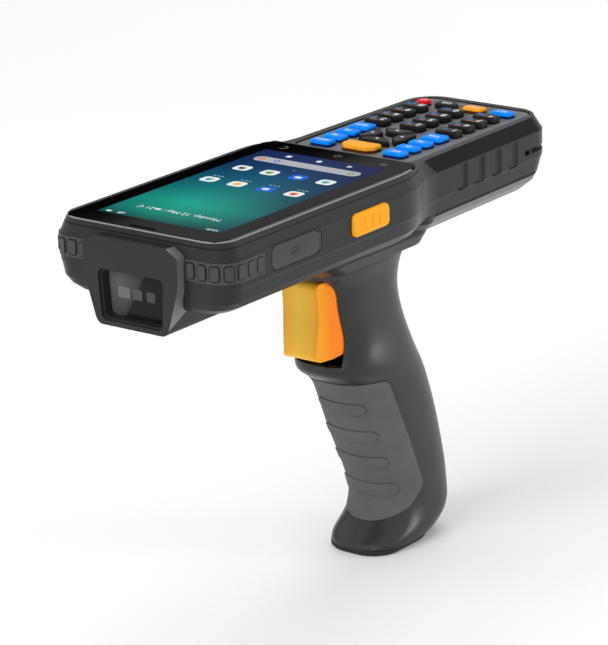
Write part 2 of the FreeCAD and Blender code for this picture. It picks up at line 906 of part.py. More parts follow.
def grip_stations():
    """Height, front, back and half width of the grip, from under the collar to the sole."""
    return [
        (111.0, -45.5, 9.0, 16.8),
        (105.0, -40.5, 5.4, 15.2),
        (97.0, -37.0, 4.2, 14.4),
        (89.0, -34.8, 5.6, 14.6),
        (81.0, -33.4, 8.4, 15.4),
        (75.0, -35.0, 11.0, 16.4),
        (71.5, -34.6, 12.8, 16.8),
        (66.0, -27.5, 15.9, 16.5),
        (59.0, -22.8, 19.1, 16.3),
        (47.0, -17.9, 23.5, 16.1),
        (35.0, -12.5, 27.2, 15.5),
        (23.0, -7.4, 30.3, 14.8),
        (16.0, -6.4, 31.4, 14.6),
        (11.0, -8.6, 31.4, 15.0),
        (7.0, -13.2, 29.2, 15.4),
        (4.0, -17.0, 25.2, 15.2),
        (sole_thickness, -17.4, 20.0, 14.4)]


def grip_ring(z, front, back, half_width, inset):
    """Right half of an oval with fuller flanks than an ellipse, closed along the middle plane."""
    centre = (front + back) / 2
    depth = (back - front) / 2 - inset
    width = half_width - inset
    points = []
    steps = 14
    for step in range(steps + 1):
        angle = math.pi * (step / steps - 0.5)
        x = width * abs(math.cos(angle)) ** (2 / grip_exponent)
        y = depth * math.copysign(abs(math.sin(angle)) ** (2 / grip_exponent), math.sin(angle))
        points.append(V(x if 0 < step < steps else 0.0, centre + y, z))
    curve = Part.BSplineCurve()
    curve.interpolate(Points=points, InitialTangent=V(1, 0, 0), FinalTangent=V(-1, 0, 0))
    return Part.Wire([curve.toShape(), Part.LineSegment(points[-1], points[0]).toShape()])


def grip_half(inset, top_z=None, bottom_z=None):
    """Right half of the grip, drawn in by the inset."""
    wires = []
    for z, front, back, half_width in grip_stations():
        if top_z is not None and z > top_z:
            continue
        if bottom_z is not None and z < bottom_z:
            continue
        wires.append(grip_ring(z, front, back, half_width, inset))
    return Part.makeLoft(wires, True, False)


def rubber_region(grow):
    """Side view of the rubber: from the front to a slanted line along the flank."""
    return prism_yz([(-60.0, 66.5 + grow, 2.0), (-14.2 + grow, 66.5 + grow, 5.0),
                     (7.6 + grow, 21.5, 4.0), (1.5, 14.6 - grow, 4.0),
                     (-20.0, 6.0 - grow, 2.0), (-60.0, 6.0 - grow, 2.0)], -40, 40)


def loop_region(index):
    """Side view of one finger loop."""
    z = loop_first_z - index * loop_pitch
    y = loop_first_y + index * loop_lean
    half = loop_height / 2
    return prism_yz([(-60.0, z - half - 8, 1.0), (y, z - half, half * 0.95),
                     (y, z + half, half * 0.95), (-60.0, z + half - 8, 1.0)], -40, 40)


def trigger_pocket():
    """Opening in the front of the grip that the trigger moves in."""
    return box(-trigger_half_width - trigger_side_gap, trigger_half_width + trigger_side_gap,
               -collar_front, pocket_back_y, pocket_bottom_z, pocket_top_z)


def grip_screw_places():
    return [(-5.0, 92.0), (1.0, 62.0), (12.0, 26.0)]


def make_grip_shells():
    """Two halves of the grip, joined on the middle plane by screws from the left."""
    outer = grip_half(0.0)
    wall = outer.cut(grip_half(grip_wall, 105.0, 4.0))
    fill = [box(0, 30, switch_front_y + switch_length, switch_front_y + switch_length + ledge_thickness,
                switch_z - switch_height / 2 - 1, switch_z + switch_height / 2 + 1),
            cylinder_x(trigger_boss_r, trigger_half_width + trigger_side_gap, 30,
                       trigger_pivot_y, trigger_pivot_z)]
    for y, z in grip_screw_places():
        fill.append(cylinder_x(grip_boss_r, 0, 30, y, z))
    inside = grip_half(grip_wall / 2)
    body = wall.fuse([piece.common(inside) for piece in fill])
    groove = grip_half(-1.0).cut(grip_half(rubber_depth)).common(rubber_region(0.0))
    body = body.cut([trigger_pocket(), groove,
                     cylinder_x(trigger_pin_r, -1, trigger_pin_length / 2,
                                trigger_pivot_y, trigger_pivot_z)])
    body = fused([largest_solid(body)] + grip_nubs())
    holes, seats = [], []
    for y, z in grip_screw_places():
        holes.append(cylinder_x(grip_screw_r, -1, grip_screw_length, y, z))
        seats.append(cylinder_x(grip_screw_r, -30, 1, y, z))
        seats.append(cylinder_x(grip_screw_head_r, -30, -grip_screw_seat, y, z))
    write(largest_solid(body.cut(holes)), "grip_shell_right")
    write(largest_solid(mirror_x(body).cut(seats)), "grip_shell_left")


def grip_back_at(z):
    """Back of the grip at a height, between its stations."""
    stations = grip_stations()
    for upper, lower in zip(stations, stations[1:]):
        if lower[0] <= z <= upper[0]:
            share = (upper[0] - z) / (upper[0] - lower[0])
            return upper[2] + share * (lower[2] - upper[2])
    return stations[-1][2]


def grip_nubs():
    """Small pips up the back of the right half."""
    pips = []
    for index in range(nub_count):
        z = nub_first_z - index * nub_pitch_z
        y = grip_back_at(z) - nub_sink - 0.7
        pips.append(Part.makeSphere(nub_r, V(nub_x, y, z)))
    return pips


def make_grip_screws():
    screws = []
    for y, z in grip_screw_places():
        seat = -grip_screw_seat
        head = cylinder_x(grip_screw_head_r, seat - grip_screw_head_depth, seat, y, z)
        shank = cylinder_x(grip_screw_r, seat, grip_screw_length - 1, y, z)
        recess = cylinder_x(1.0, seat - grip_screw_head_depth - 0.1, seat - 0.8, y, z)
        screws.append(head.fuse(shank).cut(recess))
    write(Part.makeCompound(screws), "grip_screws")


def make_grip_rubber():
    """Rubber inlay round the front of the grip, with raised finger loops."""
    skin = grip_half(-rubber_proud).cut(grip_half(rubber_depth)).common(rubber_region(-0.05))
    raised = grip_half(-loop_proud).cut(grip_half(0.3)).common(rubber_region(-2.0))
    loops = [raised.common(loop_region(index)) for index in range(loop_count)]
    half = largest_solid(skin.fuse(loops))
    write(fused([half, mirror_x(half)]), "grip_rubber")


def make_trigger():
    """Finger lever with a hollowed front, hung on its pin."""
    profile = prism_yz([
        (trigger_front_y, trigger_top_z, 2.5),
        (trigger_front_y + trigger_hollow, (trigger_top_z + trigger_bottom_z) / 2 + 2, 40.0),
        (trigger_front_y - 0.6, trigger_bottom_z, 2.0),
        (trigger_back_y - 3.5, trigger_bottom_z + 0.8, 1.5),
        (trigger_back_y + 1.5, trigger_top_z - 6, 3.0),
        (trigger_back_y + 1.5, trigger_top_z, 2.0)], -trigger_half_width, trigger_half_width)
    plan = prism_xy(mirrored([
        (trigger_half_width - 2.6, trigger_front_y - 1.2, trigger_corner_r),
        (trigger_half_width, trigger_front_y + 6.5, trigger_corner_r),
        (trigger_half_width, trigger_back_y + 3, 0.5)]), trigger_bottom_z - 2, trigger_top_z + 1)
    lever = profile.common(plan)
    pin_hole = cylinder_x(trigger_pin_r + trigger_pin_gap, -20, 20, trigger_pivot_y, trigger_pivot_z)
    room = cylinder_x(spring_r + spring_room, -spring_half_width - 0.3, spring_half_width + 0.3,
                      trigger_pivot_y, trigger_pivot_z)
    room = room.fuse(box(-spring_half_width - 0.3, spring_half_width + 0.3, trigger_pivot_y,
                         trigger_back_y + 4, trigger_pivot_z - spring_r - spring_room,
                         trigger_pivot_z + spring_r + spring_room))
    half = trigger_half_width - trigger_wall
    hollow = box(-half, half, trigger_front_y + trigger_wall * 2, trigger_back_y + 4,
                 trigger_bottom_z + trigger_wall, trigger_pivot_z - trigger_boss_r - trigger_wall)
    write(largest_solid(lever.cut([pin_hole, room, hollow])), "trigger")
    write(cylinder_x(trigger_pin_r, -trigger_pin_length / 2, trigger_pin_length / 2,
                     trigger_pivot_y, trigger_pivot_z), "trigger_pin")
    coil = cylinder_x(spring_r, -spring_half_width, spring_half_width, trigger_pivot_y, trigger_pivot_z)
    bore = cylinder_x(trigger_pin_r + spring_bore_gap, -20, 20, trigger_pivot_y, trigger_pivot_z)
    write(coil.cut(bore), "trigger_spring")


def make_trigger_switch():
    """Switch on the ledge behind the trigger."""
    case = box(-switch_half_width, switch_half_width, switch_front_y, switch_front_y + switch_length,
               switch_z - switch_height / 2, switch_z + switch_height / 2)
    plunger = Part.makeCylinder(1.2, 1.2, V(0, switch_front_y - 1.0, switch_z), V(0, 1, 0))
    write(case.fuse(plunger).removeSplitter(), "trigger_switch")


def make_mount_collar(blank):
    """Foot of the terminal that the grip closes against, shaped to the belly above it."""
    inset = collar_foot_inset

    def ring(draw_in, z):
        return ring_xy(mirrored([
            (collar_half_width - draw_in, -collar_front + draw_in * 4, collar_corner_r - draw_in),
            (collar_half_width - draw_in, collar_back - draw_in, collar_corner_r - draw_in)]), z)

    solid = Part.makeLoft([ring(0.0, below(belly_depth + 2)), ring(0.0, collar_bottom_z + 4),
                           ring(inset, collar_bottom_z)], True, True)
    pocket = prism_xy(mirrored([
        (collar_half_width - inset - collar_wall, -collar_front + inset * 4 + collar_wall, 6.0),
        (collar_half_width - inset - collar_wall, collar_back - inset - collar_wall, 6.0)]),
        collar_bottom_z - 1, collar_bottom_z + collar_pocket_height)
    write(largest_solid(solid.cut([blank, pocket])), "mount_collar")


def make_grip_foot():
    """Flat sole that the whole device stands on."""
    corners = rectangle(-sole_half_width, sole_half_width, -sole_front, sole_front,
                        sole_half_width * 0.8)
    sole = prism_xy(corners, 0, sole_thickness)
    write(sole.makeChamfer(sole_edge, edges_at(sole, 0)), "grip_foot")


def main():
    os.makedirs("parts", exist_ok=True)
    blank = body_blank()
    hollow = body_hollow()
    make_front_housing(blank, hollow)
    make_rear_housing(blank, hollow)
    make_battery_cover(blank, hollow)
    make_housing_screws()
    make_display()
    make_keypad_panel()
    make_keypad_membrane()
    make_keys()
    make_main_board()
    make_port_receptacle()
    make_loudspeaker()
    make_battery()
    make_scan_hood(blank)
    make_scan_window()
    make_scan_engine()
    make_corner_bumpers()
    make_port_cover()
    make_side_buttons()
    make_mount_collar(blank)
    make_grip_shells()
    make_grip_rubber()
    make_grip_screws()
    make_trigger()
    make_trigger_switch()
    make_grip_foot()


main()
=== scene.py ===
import bpy
import bmesh
import json
import math
from mathutils import Matrix, Vector

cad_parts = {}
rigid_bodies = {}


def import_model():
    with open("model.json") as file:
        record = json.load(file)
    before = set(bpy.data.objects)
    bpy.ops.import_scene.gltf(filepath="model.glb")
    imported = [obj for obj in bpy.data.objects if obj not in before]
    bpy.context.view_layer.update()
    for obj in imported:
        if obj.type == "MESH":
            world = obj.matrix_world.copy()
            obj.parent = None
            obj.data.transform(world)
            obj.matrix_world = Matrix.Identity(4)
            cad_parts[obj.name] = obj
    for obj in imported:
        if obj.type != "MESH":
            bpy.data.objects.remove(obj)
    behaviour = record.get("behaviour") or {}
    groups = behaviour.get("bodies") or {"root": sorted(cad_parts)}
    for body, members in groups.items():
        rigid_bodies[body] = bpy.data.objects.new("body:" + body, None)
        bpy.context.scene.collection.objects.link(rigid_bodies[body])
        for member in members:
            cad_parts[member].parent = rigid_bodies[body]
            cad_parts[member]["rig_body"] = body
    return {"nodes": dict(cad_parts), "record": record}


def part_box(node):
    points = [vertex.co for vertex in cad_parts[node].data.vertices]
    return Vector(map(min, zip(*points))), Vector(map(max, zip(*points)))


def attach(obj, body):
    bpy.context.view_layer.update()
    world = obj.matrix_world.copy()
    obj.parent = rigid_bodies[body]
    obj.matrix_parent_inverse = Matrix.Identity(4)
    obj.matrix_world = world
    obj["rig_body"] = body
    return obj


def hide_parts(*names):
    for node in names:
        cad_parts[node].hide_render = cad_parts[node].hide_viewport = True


# Looks of the handheld data terminal. The frame's axes: +Z up, the scanning nose towards -Y,
# the keypad towards +Y and the port cover towards +X. A reader of the keypad stands at +Y.

MM = 0.001

# Camera of the photograph, in degrees, millimetres and pixels
camera_azimuth = 37.385
camera_elevation = 17.811
camera_roll = -1.594
camera_place = (653.2, -894.8, 436.9)
focal_pixels = 3353.2
image_height = 645.0
sensor_size = 36.0

# Heights and places of the terminal, in millimetres
skin = 0.02
casing_half_width = 36.0
display_start = -114.5
display_end = -26.0
display_half_width = 24.9
bumper_corner_r = 8.0
bumper_face_y = -125.5
bumper_middle_z = 135.3
tile_count = 7
tile_start_x = 21.7
tile_end_y = -109.0
tile_width = 3.0
tile_height = 4.7
tile_proud = 0.42
tile_gap = 0.3
tile_groove_height = 0.16
rim_highlight_z = 144.58
rim_groove_top = 143.1
rim_groove_bottom = 142.65
rim_groove_end = -14.0
keypad_rim_z = 143.9
strip_bottom_z = 139.0
strip_start_top = -8.2
strip_start_bottom = -2.6
seam_width = 1.1
flank_depth = 4.0
panel_taper = 1.0
port_gap = 0.5
panel_corner_r = 5.0

# Dark card far behind the object, which only gloss sees: it blackens the glass left of its edge
card_edge_middle = (-1.07, 1.13, 0.612)
card_edge_run = (0.179, 0.984, 0.0)
card_half_length = 1.6
card_depth = 0.4

# Lamps and their aims, in metres and watts
key_lamp_place = (-0.2, -1.5, 1.1)
key_lamp_aim = (0.0, -0.03, 0.1)
key_lamp_size = 1.0
key_lamp_power = 21.0
side_lamp_place = (1.5, 1.0, 0.1)
side_lamp_aim = (0.0, 0.03, 0.1)
side_lamp_width = 0.5
side_lamp_height = 0.7
side_lamp_power = 18.0
back_lamp_place = (-0.4, 1.2, 1.6)
back_lamp_aim = (0.0, -0.03, 0.13)
back_lamp_size = 1.2
back_lamp_power = 14.0
corner_lamp_place = (1.0, -1.4, 0.12)
corner_lamp_aim = (0.03, -0.11, 0.13)
corner_lamp_width = 0.12
corner_lamp_height = 0.2
corner_lamp_power = 4.0
soft_light = 0.45

# Floor, in metres and shares of white
floor_size = 12.0
floor_drop = 0.0002
floor_glow = 0.12
floor_dark_tone = 0.86
floor_light_tone = 0.88

# Layout of the screen and of the touch marks, in millimetres
bar_x = 0.3
bar_y = -36.5
bar_length = 43.4
bar_height = 5.4
bar_corner_r = 2.65
bar_mark_r = 1.15
bar_core_r = 0.5
icon_width = 6.2
icon_height = 5.6
icon_corner_r = 1.7
icon_core_r = 1.5
icon_dot_r = 0.62
icon_label_drop = 4.7
page_dot_y = -43.2
navigation_x = 0.4
navigation_y = -29.7
status_y = -112.6
status_text = 2.3
date_y = -103.2
date_text = 3.3
back_mark = (-21.1, -21.1)
home_mark = (1.5, -21.0)
menu_mark = (21.0, -22.6)
menu_pitch = 0.9

# Marks on the keypad panel, the port cover and the nose
name_plate = (-2.0, 63.6)
microphone = (-17.3, 63.6)
port_sign_y = -90.4
port_sign_z = 135.2
window_painted_light_z = 123.2

# Places that pick faces of the casing, in millimetres
keypad_middle_y = 30.0
display_middle_y = -70.0
strip_near_x = 25.4
strip_turn_y = 60.0
strip_far_y = 68.0
rim_highlight_end = -17.0
rim_groove_near_x = 20.0


def srgb(red, green, blue):
    """Linear colour of a screen colour given from 0 to 255."""
    def channel(value):
        share = value / 255.0
        return share / 12.92 if share <= 0.04045 else ((share + 0.055) / 1.055) ** 2.4
    return (channel(red), channel(green), channel(blue), 1.0)


def scaled(colour, factor):
    return tuple(min(1.0, part * factor) for part in colour[:3]) + (1.0,)


# Node helpers


def new_material(name):
    material = bpy.data.materials.new(name)
    material.use_nodes = True
    tree = material.node_tree
    tree.nodes.clear()
    output = tree.nodes.new("ShaderNodeOutputMaterial")
    shader = tree.nodes.new("ShaderNodeBsdfPrincipled")
    tree.links.new(shader.outputs["BSDF"], output.inputs["Surface"])
    return material, tree, shader


def object_place(tree):
    return tree.nodes.new("ShaderNodeTexCoord").outputs["Object"]


def axis_place(tree, axis):
    """One coordinate of the surface point, in metres."""
    split = tree.nodes.new("ShaderNodeSeparateXYZ")
    tree.links.new(object_place(tree), split.inputs["Vector"])
    return split.outputs[axis]


def noise(tree, size_mm, detail=3.0):
    texture = tree.nodes.new("ShaderNodeTexNoise")
    tree.links.new(object_place(tree), texture.inputs["Vector"])
    texture.inputs["Scale"].default_value = 1.0 / (size_mm * MM)
    texture.inputs["Detail"].default_value = detail
    return texture.outputs["Fac"]


def ramp(tree, source, stops):
    """Colours along a value, as (position, colour) stops."""
    node = tree.nodes.new("ShaderNodeValToRGB")
    tree.links.new(source, node.inputs["Fac"])
    bar = node.color_ramp
    while len(bar.elements) < len(stops):
        bar.elements.new(0.5)
    for element, (position, colour) in zip(bar.elements, stops):
        element.position = position
        element.color = colour
    return node.outputs["Color"]


def spread(tree, source, low, high, start=0.0, end=1.0):
    """A value brought from start and end to low and high."""
    node = tree.nodes.new("ShaderNodeMapRange")
    tree.links.new(source, node.inputs["Value"])
    for socket, value in (("From Min", start), ("From Max", end), ("To Min", low), ("To Max", high)):
        node.inputs[socket].default_value = value
    return node.outputs["Result"]


def blended(tree, share, first, second, mode="MIX"):
    node = tree.nodes.new("ShaderNodeMixRGB")
    node.blend_type = mode
    for socket, value in (("Fac", share), ("Color1", first), ("Color2", second)):
        if hasattr(value, "is_linked"):
            tree.links.new(value, node.inputs[socket])
        else:
            node.inputs[socket].default_value = value
    return node.outputs["Color"]


def grained_normal(tree, shader, size_mm, depth_mm, strength, rounding_mm):
    """Fine moulded grain, over edges that catch the light as if rounded."""
    bump = tree.nodes.new("ShaderNodeBump")
    bump.inputs["Strength"].default_value = strength
    bump.inputs["Distance"].default_value = depth_mm * MM
    tree.links.new(noise(tree, size_mm, 2.0), bump.inputs["Height"])
    if rounding_mm:
        rounded = tree.nodes.new("ShaderNodeBevel")
        rounded.samples = 4
        rounded.inputs["Radius"].default_value = rounding_mm * MM
        tree.links.new(rounded.outputs["Normal"], bump.inputs["Normal"])
    tree.links.new(bump.outputs["Normal"], shader.inputs["Normal"])


# Materials


def plastic(name, colour, roughness, grain_mm=0.35, depth_mm=0.02, strength=0.35, rounding_mm=0.3,
            specular=0.2, coat=0.0, mottle=0.08):
    """Moulded plastic: slightly uneven colour and gloss, fine grain."""
    material, tree, shader = new_material(name)
    tint = ramp(tree, noise(tree, 14.0), [(0.3, scaled(colour, 1.0 - mottle)),
                                          (0.7, scaled(colour, 1.0 + mottle))])
    speckle = ramp(tree, noise(tree, grain_mm * 1.5), [(0.3, (0.9, 0.9, 0.9, 1.0)),
                                                       (0.7, (1.0, 1.0, 1.0, 1.0))])
    tree.links.new(blended(tree, 1.0, tint, speckle, "MULTIPLY"), shader.inputs["Base Color"])
    tree.links.new(spread(tree, noise(tree, 5.0), roughness - 0.05, roughness + 0.05),
                   shader.inputs["Roughness"])
    shader.inputs["Specular IOR Level"].default_value = specular
    shader.inputs["Coat Weight"].default_value = coat
    shader.inputs["Coat Roughness"].default_value = 0.12
    grained_normal(tree, shader, grain_mm, depth_mm, strength, rounding_mm)
    return material


def trigger_painted_light_and_shade():
    """Orange plastic with a painted highlight making the middle of the finger face yellower, and painted
    shade making its +X flank redder.
    """
    material, tree, shader = new_material("trigger_plastic_painted_light")
    low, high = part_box("trigger")
    across = spread(tree, axis_place(tree, "X"), 0.0, 1.0, low.x, high.x)
    # Painted highlight along the middle of the face, painted shade towards the +X flank.
    tint = ramp(tree, across, [(0.0, srgb(255, 168, 52)), (0.45, srgb(255, 206, 78)),
                               (0.8, srgb(255, 190, 62)), (0.95, srgb(255, 156, 40)),
                               (1.0, srgb(255, 136, 30))])
    mottle = ramp(tree, noise(tree, 8.0), [(0.3, (0.96, 0.96, 0.96, 1.0)), (0.7, (1.0, 1.0, 1.0, 1.0))])
    tree.links.new(blended(tree, 1.0, tint, mottle, "MULTIPLY"), shader.inputs["Base Color"])
    tree.links.new(spread(tree, noise(tree, 5.0), 0.3, 0.36), shader.inputs["Roughness"])
    shader.inputs["Specular IOR Level"].default_value = 0.12
    grained_normal(tree, shader, 0.3, 0.003, 0.1, 0.6)
    return material


def keycap(name, top, painted_shade_skirt, split_z, roughness, specular=0.5):
    """Key with its cap in its colour and a darker skirt under it: the skirt is painted shade down the key's
    sides.
    """
    material, tree, shader = new_material(name)
    height = spread(tree, axis_place(tree, "Z"), 0.0, 1.0, (split_z - 0.12) * MM, (split_z + 0.12) * MM)
    mottled = ramp(tree, noise(tree, 3.0), [(0.3, scaled(top, 0.94)), (0.7, scaled(top, 1.06))])
    tree.links.new(blended(tree, height, painted_shade_skirt, mottled), shader.inputs["Base Color"])
    tree.links.new(spread(tree, noise(tree, 2.0), roughness - 0.05, roughness + 0.07),
                   shader.inputs["Roughness"])
    shader.inputs["Specular IOR Level"].default_value = specular
    grained_normal(tree, shader, 0.3, 0.01, 0.2, 0.0)
    return material


def metal(name, colour, roughness):
    material, tree, shader = new_material(name)
    tree.links.new(ramp(tree, noise(tree, 2.0), [(0.3, scaled(colour, 0.9)), (0.7, scaled(colour, 1.1))]),
                   shader.inputs["Base Color"])
    tree.links.new(spread(tree, noise(tree, 0.8), roughness - 0.08, roughness + 0.08),
                   shader.inputs["Roughness"])
    shader.inputs["Metallic"].default_value = 1.0
    grained_normal(tree, shader, 0.2, 0.01, 0.3, 0.1)
    return material


def glossy_sheet(name, colour, roughness, specular):
    """Smooth dark glass or lacquer with faint smears."""
    material, tree, shader = new_material(name)
    tree.links.new(ramp(tree, noise(tree, 20.0), [(0.3, scaled(colour, 0.8)), (0.7, scaled(colour, 1.2))]),
                   shader.inputs["Base Color"])
    tree.links.new(spread(tree, noise(tree, 9.0), roughness * 0.7, roughness * 1.3),
                   shader.inputs["Roughness"])
    shader.inputs["Specular IOR Level"].default_value = specular
    return material


def pane_painted_reflection():
    """Dark window of the nose, paler towards its -X end: a painted reflection, which ends along a sharp
    slanted line.
    """
    material, tree, shader = new_material("window")
    slant = tree.nodes.new("ShaderNodeMath")
    slant.operation = "MULTIPLY_ADD"
    tree.links.new(axis_place(tree, "Z"), slant.inputs[0])
    slant.inputs[1].default_value = -0.57
    tree.links.new(axis_place(tree, "X"), slant.inputs[2])
    across = spread(tree, slant.outputs["Value"], 0.0, 1.0, -84.0 * MM, -60.0 * MM)
    # Painted reflection: pale at the -X end, stepping to dark along a slanted line.
    tree.links.new(ramp(tree, across, [(0.0, srgb(92, 88, 88)), (0.44, srgb(64, 58, 58)),
                                       (0.5, srgb(54, 48, 48)), (0.51, srgb(30, 24, 24)),
                                       (1.0, srgb(26, 21, 21))]),
                   shader.inputs["Base Color"])
    tree.links.new(spread(tree, noise(tree, 6.0), 0.08, 0.16), shader.inputs["Roughness"])
    shader.inputs["Specular IOR Level"].default_value = 0.1
    return material


def screen_finish():
    """Lit picture of the screen: teal at the head end, through blue, to navy at the keypad end."""
    material, tree, shader = new_material("screen_picture")
    along = spread(tree, axis_place(tree, "Y"), 0.0, 1.0, display_start * MM, display_end * MM)
    wash = ramp(tree, along, [
        (0.0, srgb(8, 84, 78)), (0.09, srgb(14, 136, 118)), (0.24, srgb(20, 160, 138)),
        (0.42, srgb(14, 128, 124)), (0.6, srgb(12, 92, 118)), (0.78, srgb(16, 62, 104)),
        (1.0, srgb(28, 46, 96))])
    across = spread(tree, axis_place(tree, "X"), 0.0, 1.0, -display_half_width * MM,
                    display_half_width * MM)
    depth = ramp(tree, across, [(0.0, srgb(200, 214, 226)), (0.35, srgb(255, 255, 255)),
                                (0.6, srgb(250, 244, 244)), (1.0, srgb(176, 158, 196))])
    drift = ramp(tree, noise(tree, 30.0, 1.0), [(0.3, srgb(238, 242, 240)), (0.7, srgb(255, 255, 255))])
    tinted = blended(tree, 1.0, wash, depth, "MULTIPLY")
    picture = blended(tree, 1.0, tinted, drift, "MULTIPLY")
    tree.links.new(picture, shader.inputs["Emission Color"])
    shader.inputs["Emission Strength"].default_value = 1.0
    tree.links.new(spread(tree, noise(tree, 9.0), 0.05, 0.09), shader.inputs["Roughness"])
    shader.inputs["Base Color"].default_value = (0.002, 0.002, 0.002, 1.0)
    shader.inputs["Specular IOR Level"].default_value = 0.004
    return material


def glowing(name, colour, strength=1.0):
    """Lit mark on the screen."""
    material, tree, shader = new_material(name)
    tree.links.new(ramp(tree, noise(tree, 2.0), [(0.2, scaled(colour, 0.93)), (0.8, colour)]),
                   shader.inputs["Emission Color"])
    shader.inputs["Emission Strength"].default_value = strength
    shader.inputs["Base Color"].default_value = (0.002, 0.002, 0.002, 1.0)
    shader.inputs["Specular IOR Level"].default_value = 0.01
    return material


def board_finish():
    material, tree, shader = new_material("board")
    traces = ramp(tree, noise(tree, 1.2, 0.0), [(0.46, srgb(14, 70, 40)), (0.5, srgb(40, 110, 66)),
                                                (0.54, srgb(14, 70, 40))])
    tree.links.new(traces, shader.inputs["Base Color"])
    tree.links.new(spread(tree, noise(tree, 3.0), 0.3, 0.5), shader.inputs["Roughness"])
    return material


def make_finishes():
    casing = srgb(40, 40, 41)
    lower = srgb(48, 48, 49)
    return {
        "casing": plastic("casing", casing, 0.3, 0.3, 0.006, 0.2, 0.4, 0.18),
        "casing_lower": plastic("casing_lower", lower, 0.3, 0.3, 0.006, 0.2, 0.6, 0.3),
        "screw_steel": metal("screw_steel", srgb(150, 150, 155), 0.35),
        "cover_glass": glossy_sheet("cover_glass", srgb(2, 2, 2), 0.05, 0.008),
        "display": glossy_sheet("display", srgb(20, 20, 24), 0.2, 0.4),
        "panel": plastic("panel", srgb(116, 116, 117), 0.45, 0.25, 0.01, 0.25, 0.2, 0.06),
        "mat_rubber": plastic("mat_rubber", srgb(42, 42, 42), 0.45, 0.3, 0.01, 0.3, 0.2, 0.08),
        "board": board_finish(),
        "inner_plastic": plastic("inner_plastic", srgb(30, 30, 32), 0.5),
        "battery": plastic("battery", srgb(38, 44, 60), 0.4),
        # Paler casing grey used as painted light, on the hood flanks and on the battery cover.
        "casing_pale": plastic("casing_pale", srgb(112, 112, 113), 0.36, 0.3, 0.012, 0.3, 0.5, 0.4),
        "window": pane_painted_reflection(),
        "bumper_rubber": plastic("bumper_rubber", srgb(64, 64, 63), 0.42, 0.35, 0.015, 0.3, 0.25, 0.18),
        "orange_plastic": plastic("orange_plastic", srgb(255, 172, 36), 0.36, 0.3, 0.004, 0.15, 0.5,
                                  0.07, 0.0, 0.03),
        "grip_plastic": plastic("grip_plastic", srgb(50, 50, 50), 0.32, 0.3, 0.006, 0.2, 0.5, 0.28),
        "grip_rubber": plastic("grip_rubber", srgb(96, 97, 95), 0.6, 0.4, 0.02, 0.4, 0.4, 0.12),
        "foot_rubber": plastic("foot_rubber", srgb(44, 44, 45), 0.6, 0.4, 0.02, 0.4, 0.3, 0.14),
        # Each key's second, darker colour is painted shade on its skirt.
        "key_black": keycap("key_black", srgb(30, 30, 31), srgb(24, 24, 25), 144.4, 0.3, 0.12),
        "key_blue": keycap("key_blue", srgb(16, 140, 255), srgb(12, 34, 92), 144.35, 0.35, 0.06),
        "key_orange": keycap("key_orange", srgb(255, 170, 44), srgb(84, 46, 20), 144.5, 0.35, 0.06),
        "key_red": keycap("key_red", srgb(236, 30, 40), srgb(70, 14, 16), 144.2, 0.3, 0.1),
    }


def make_marks():
    return {
        "white": plastic("mark_white", srgb(232, 232, 232), 0.5, 0.2, 0.002, 0.1, 0.0),
        "blue": plastic("mark_blue", srgb(40, 150, 235), 0.5, 0.2, 0.002, 0.1, 0.0),
        "orange": plastic("mark_orange", srgb(235, 120, 45), 0.5, 0.2, 0.002, 0.1, 0.0),
        "groove": plastic("groove_shade", srgb(10, 10, 10), 0.6, 0.3, 0.004, 0.2, 0.0, 0.2),
        # Pale grey for the painted highlight on the bevel round the glass.
        "rim": plastic("rim_painted_highlight", srgb(132, 132, 132), 0.35, 0.2, 0.004, 0.2, 0.0, 0.4),
        "strip": glossy_sheet("strip_lacquer", srgb(18, 18, 19), 0.14, 0.08),
        "lit_white": glowing("lit_white", srgb(236, 240, 242)),
        "lit_pill": glowing("lit_pill", srgb(178, 180, 186)),
        "lit_blue": glowing("lit_blue", srgb(30, 104, 226)),
        "lit_teal": glowing("lit_teal", srgb(40, 180, 200)),
        "lit_red": glowing("lit_red", srgb(222, 74, 58)),
        "lit_green": glowing("lit_green", srgb(52, 160, 92)),
        "lit_yellow": glowing("lit_yellow", srgb(240, 190, 60)),
        "lit_dark": glowing("lit_dark", srgb(60, 66, 84)),
        "lit_soft": glowing("lit_soft", srgb(150, 190, 200)),
        "cap_mark": glowing("cap_mark", srgb(128, 128, 130), 0.8),
        # The lens marks glow with no lamp behind them: painted light.
        "lens_painted_light_near": glowing("lens_painted_light_near", srgb(118, 113, 112)),
        "lens_painted_light_middle": glowing("lens_painted_light_middle", srgb(92, 87, 87)),
        "lens_painted_light_far": glowing("lens_painted_light_far", srgb(84, 78, 77)),
    }


# Outlines and flat pieces


def rounded_rectangle(width, height, radius, turns=6):
    points = []
    for quarter, (sx, sy) in enumerate(((1, 1), (-1, 1), (-1, -1), (1, -1))):
        for step in range(turns + 1):
            angle = (quarter + step / turns) * math.pi / 2
            points.append((sx * (width / 2 - radius) + radius * math.cos(angle),
                           sy * (height / 2 - radius) + radius * math.sin(angle)))
    return points


def circle(radius, turns=28):
    return [(radius * math.cos(2 * math.pi * i / turns), radius * math.sin(2 * math.pi * i / turns))
            for i in range(turns)]


def arc(radius, start, end, steps=16):
    return [(radius * math.cos(math.radians(start + (end - start) * i / steps)),
             radius * math.sin(math.radians(start + (end - start) * i / steps)))
            for i in range(steps + 1)]


def on_top(x, y, z):
    """Frame on a face that looks up, for a reader at +Y."""
    return Matrix(((-1, 0, 0, x), (0, -1, 0, y), (0, 0, 1, z), (0, 0, 0, 1)))


def on_right(y, z, x):
    """Frame on a face that looks towards +X."""
    return Matrix(((0, 0, 1, x), (1, 0, 0, y), (0, 1, 0, z), (0, 0, 0, 1)))


def on_front(x, z, y):
    """Frame on a face that looks towards -Y."""
    return Matrix(((1, 0, 0, x), (0, 0, -1, y), (0, 1, 0, z), (0, 0, 0, 1)))


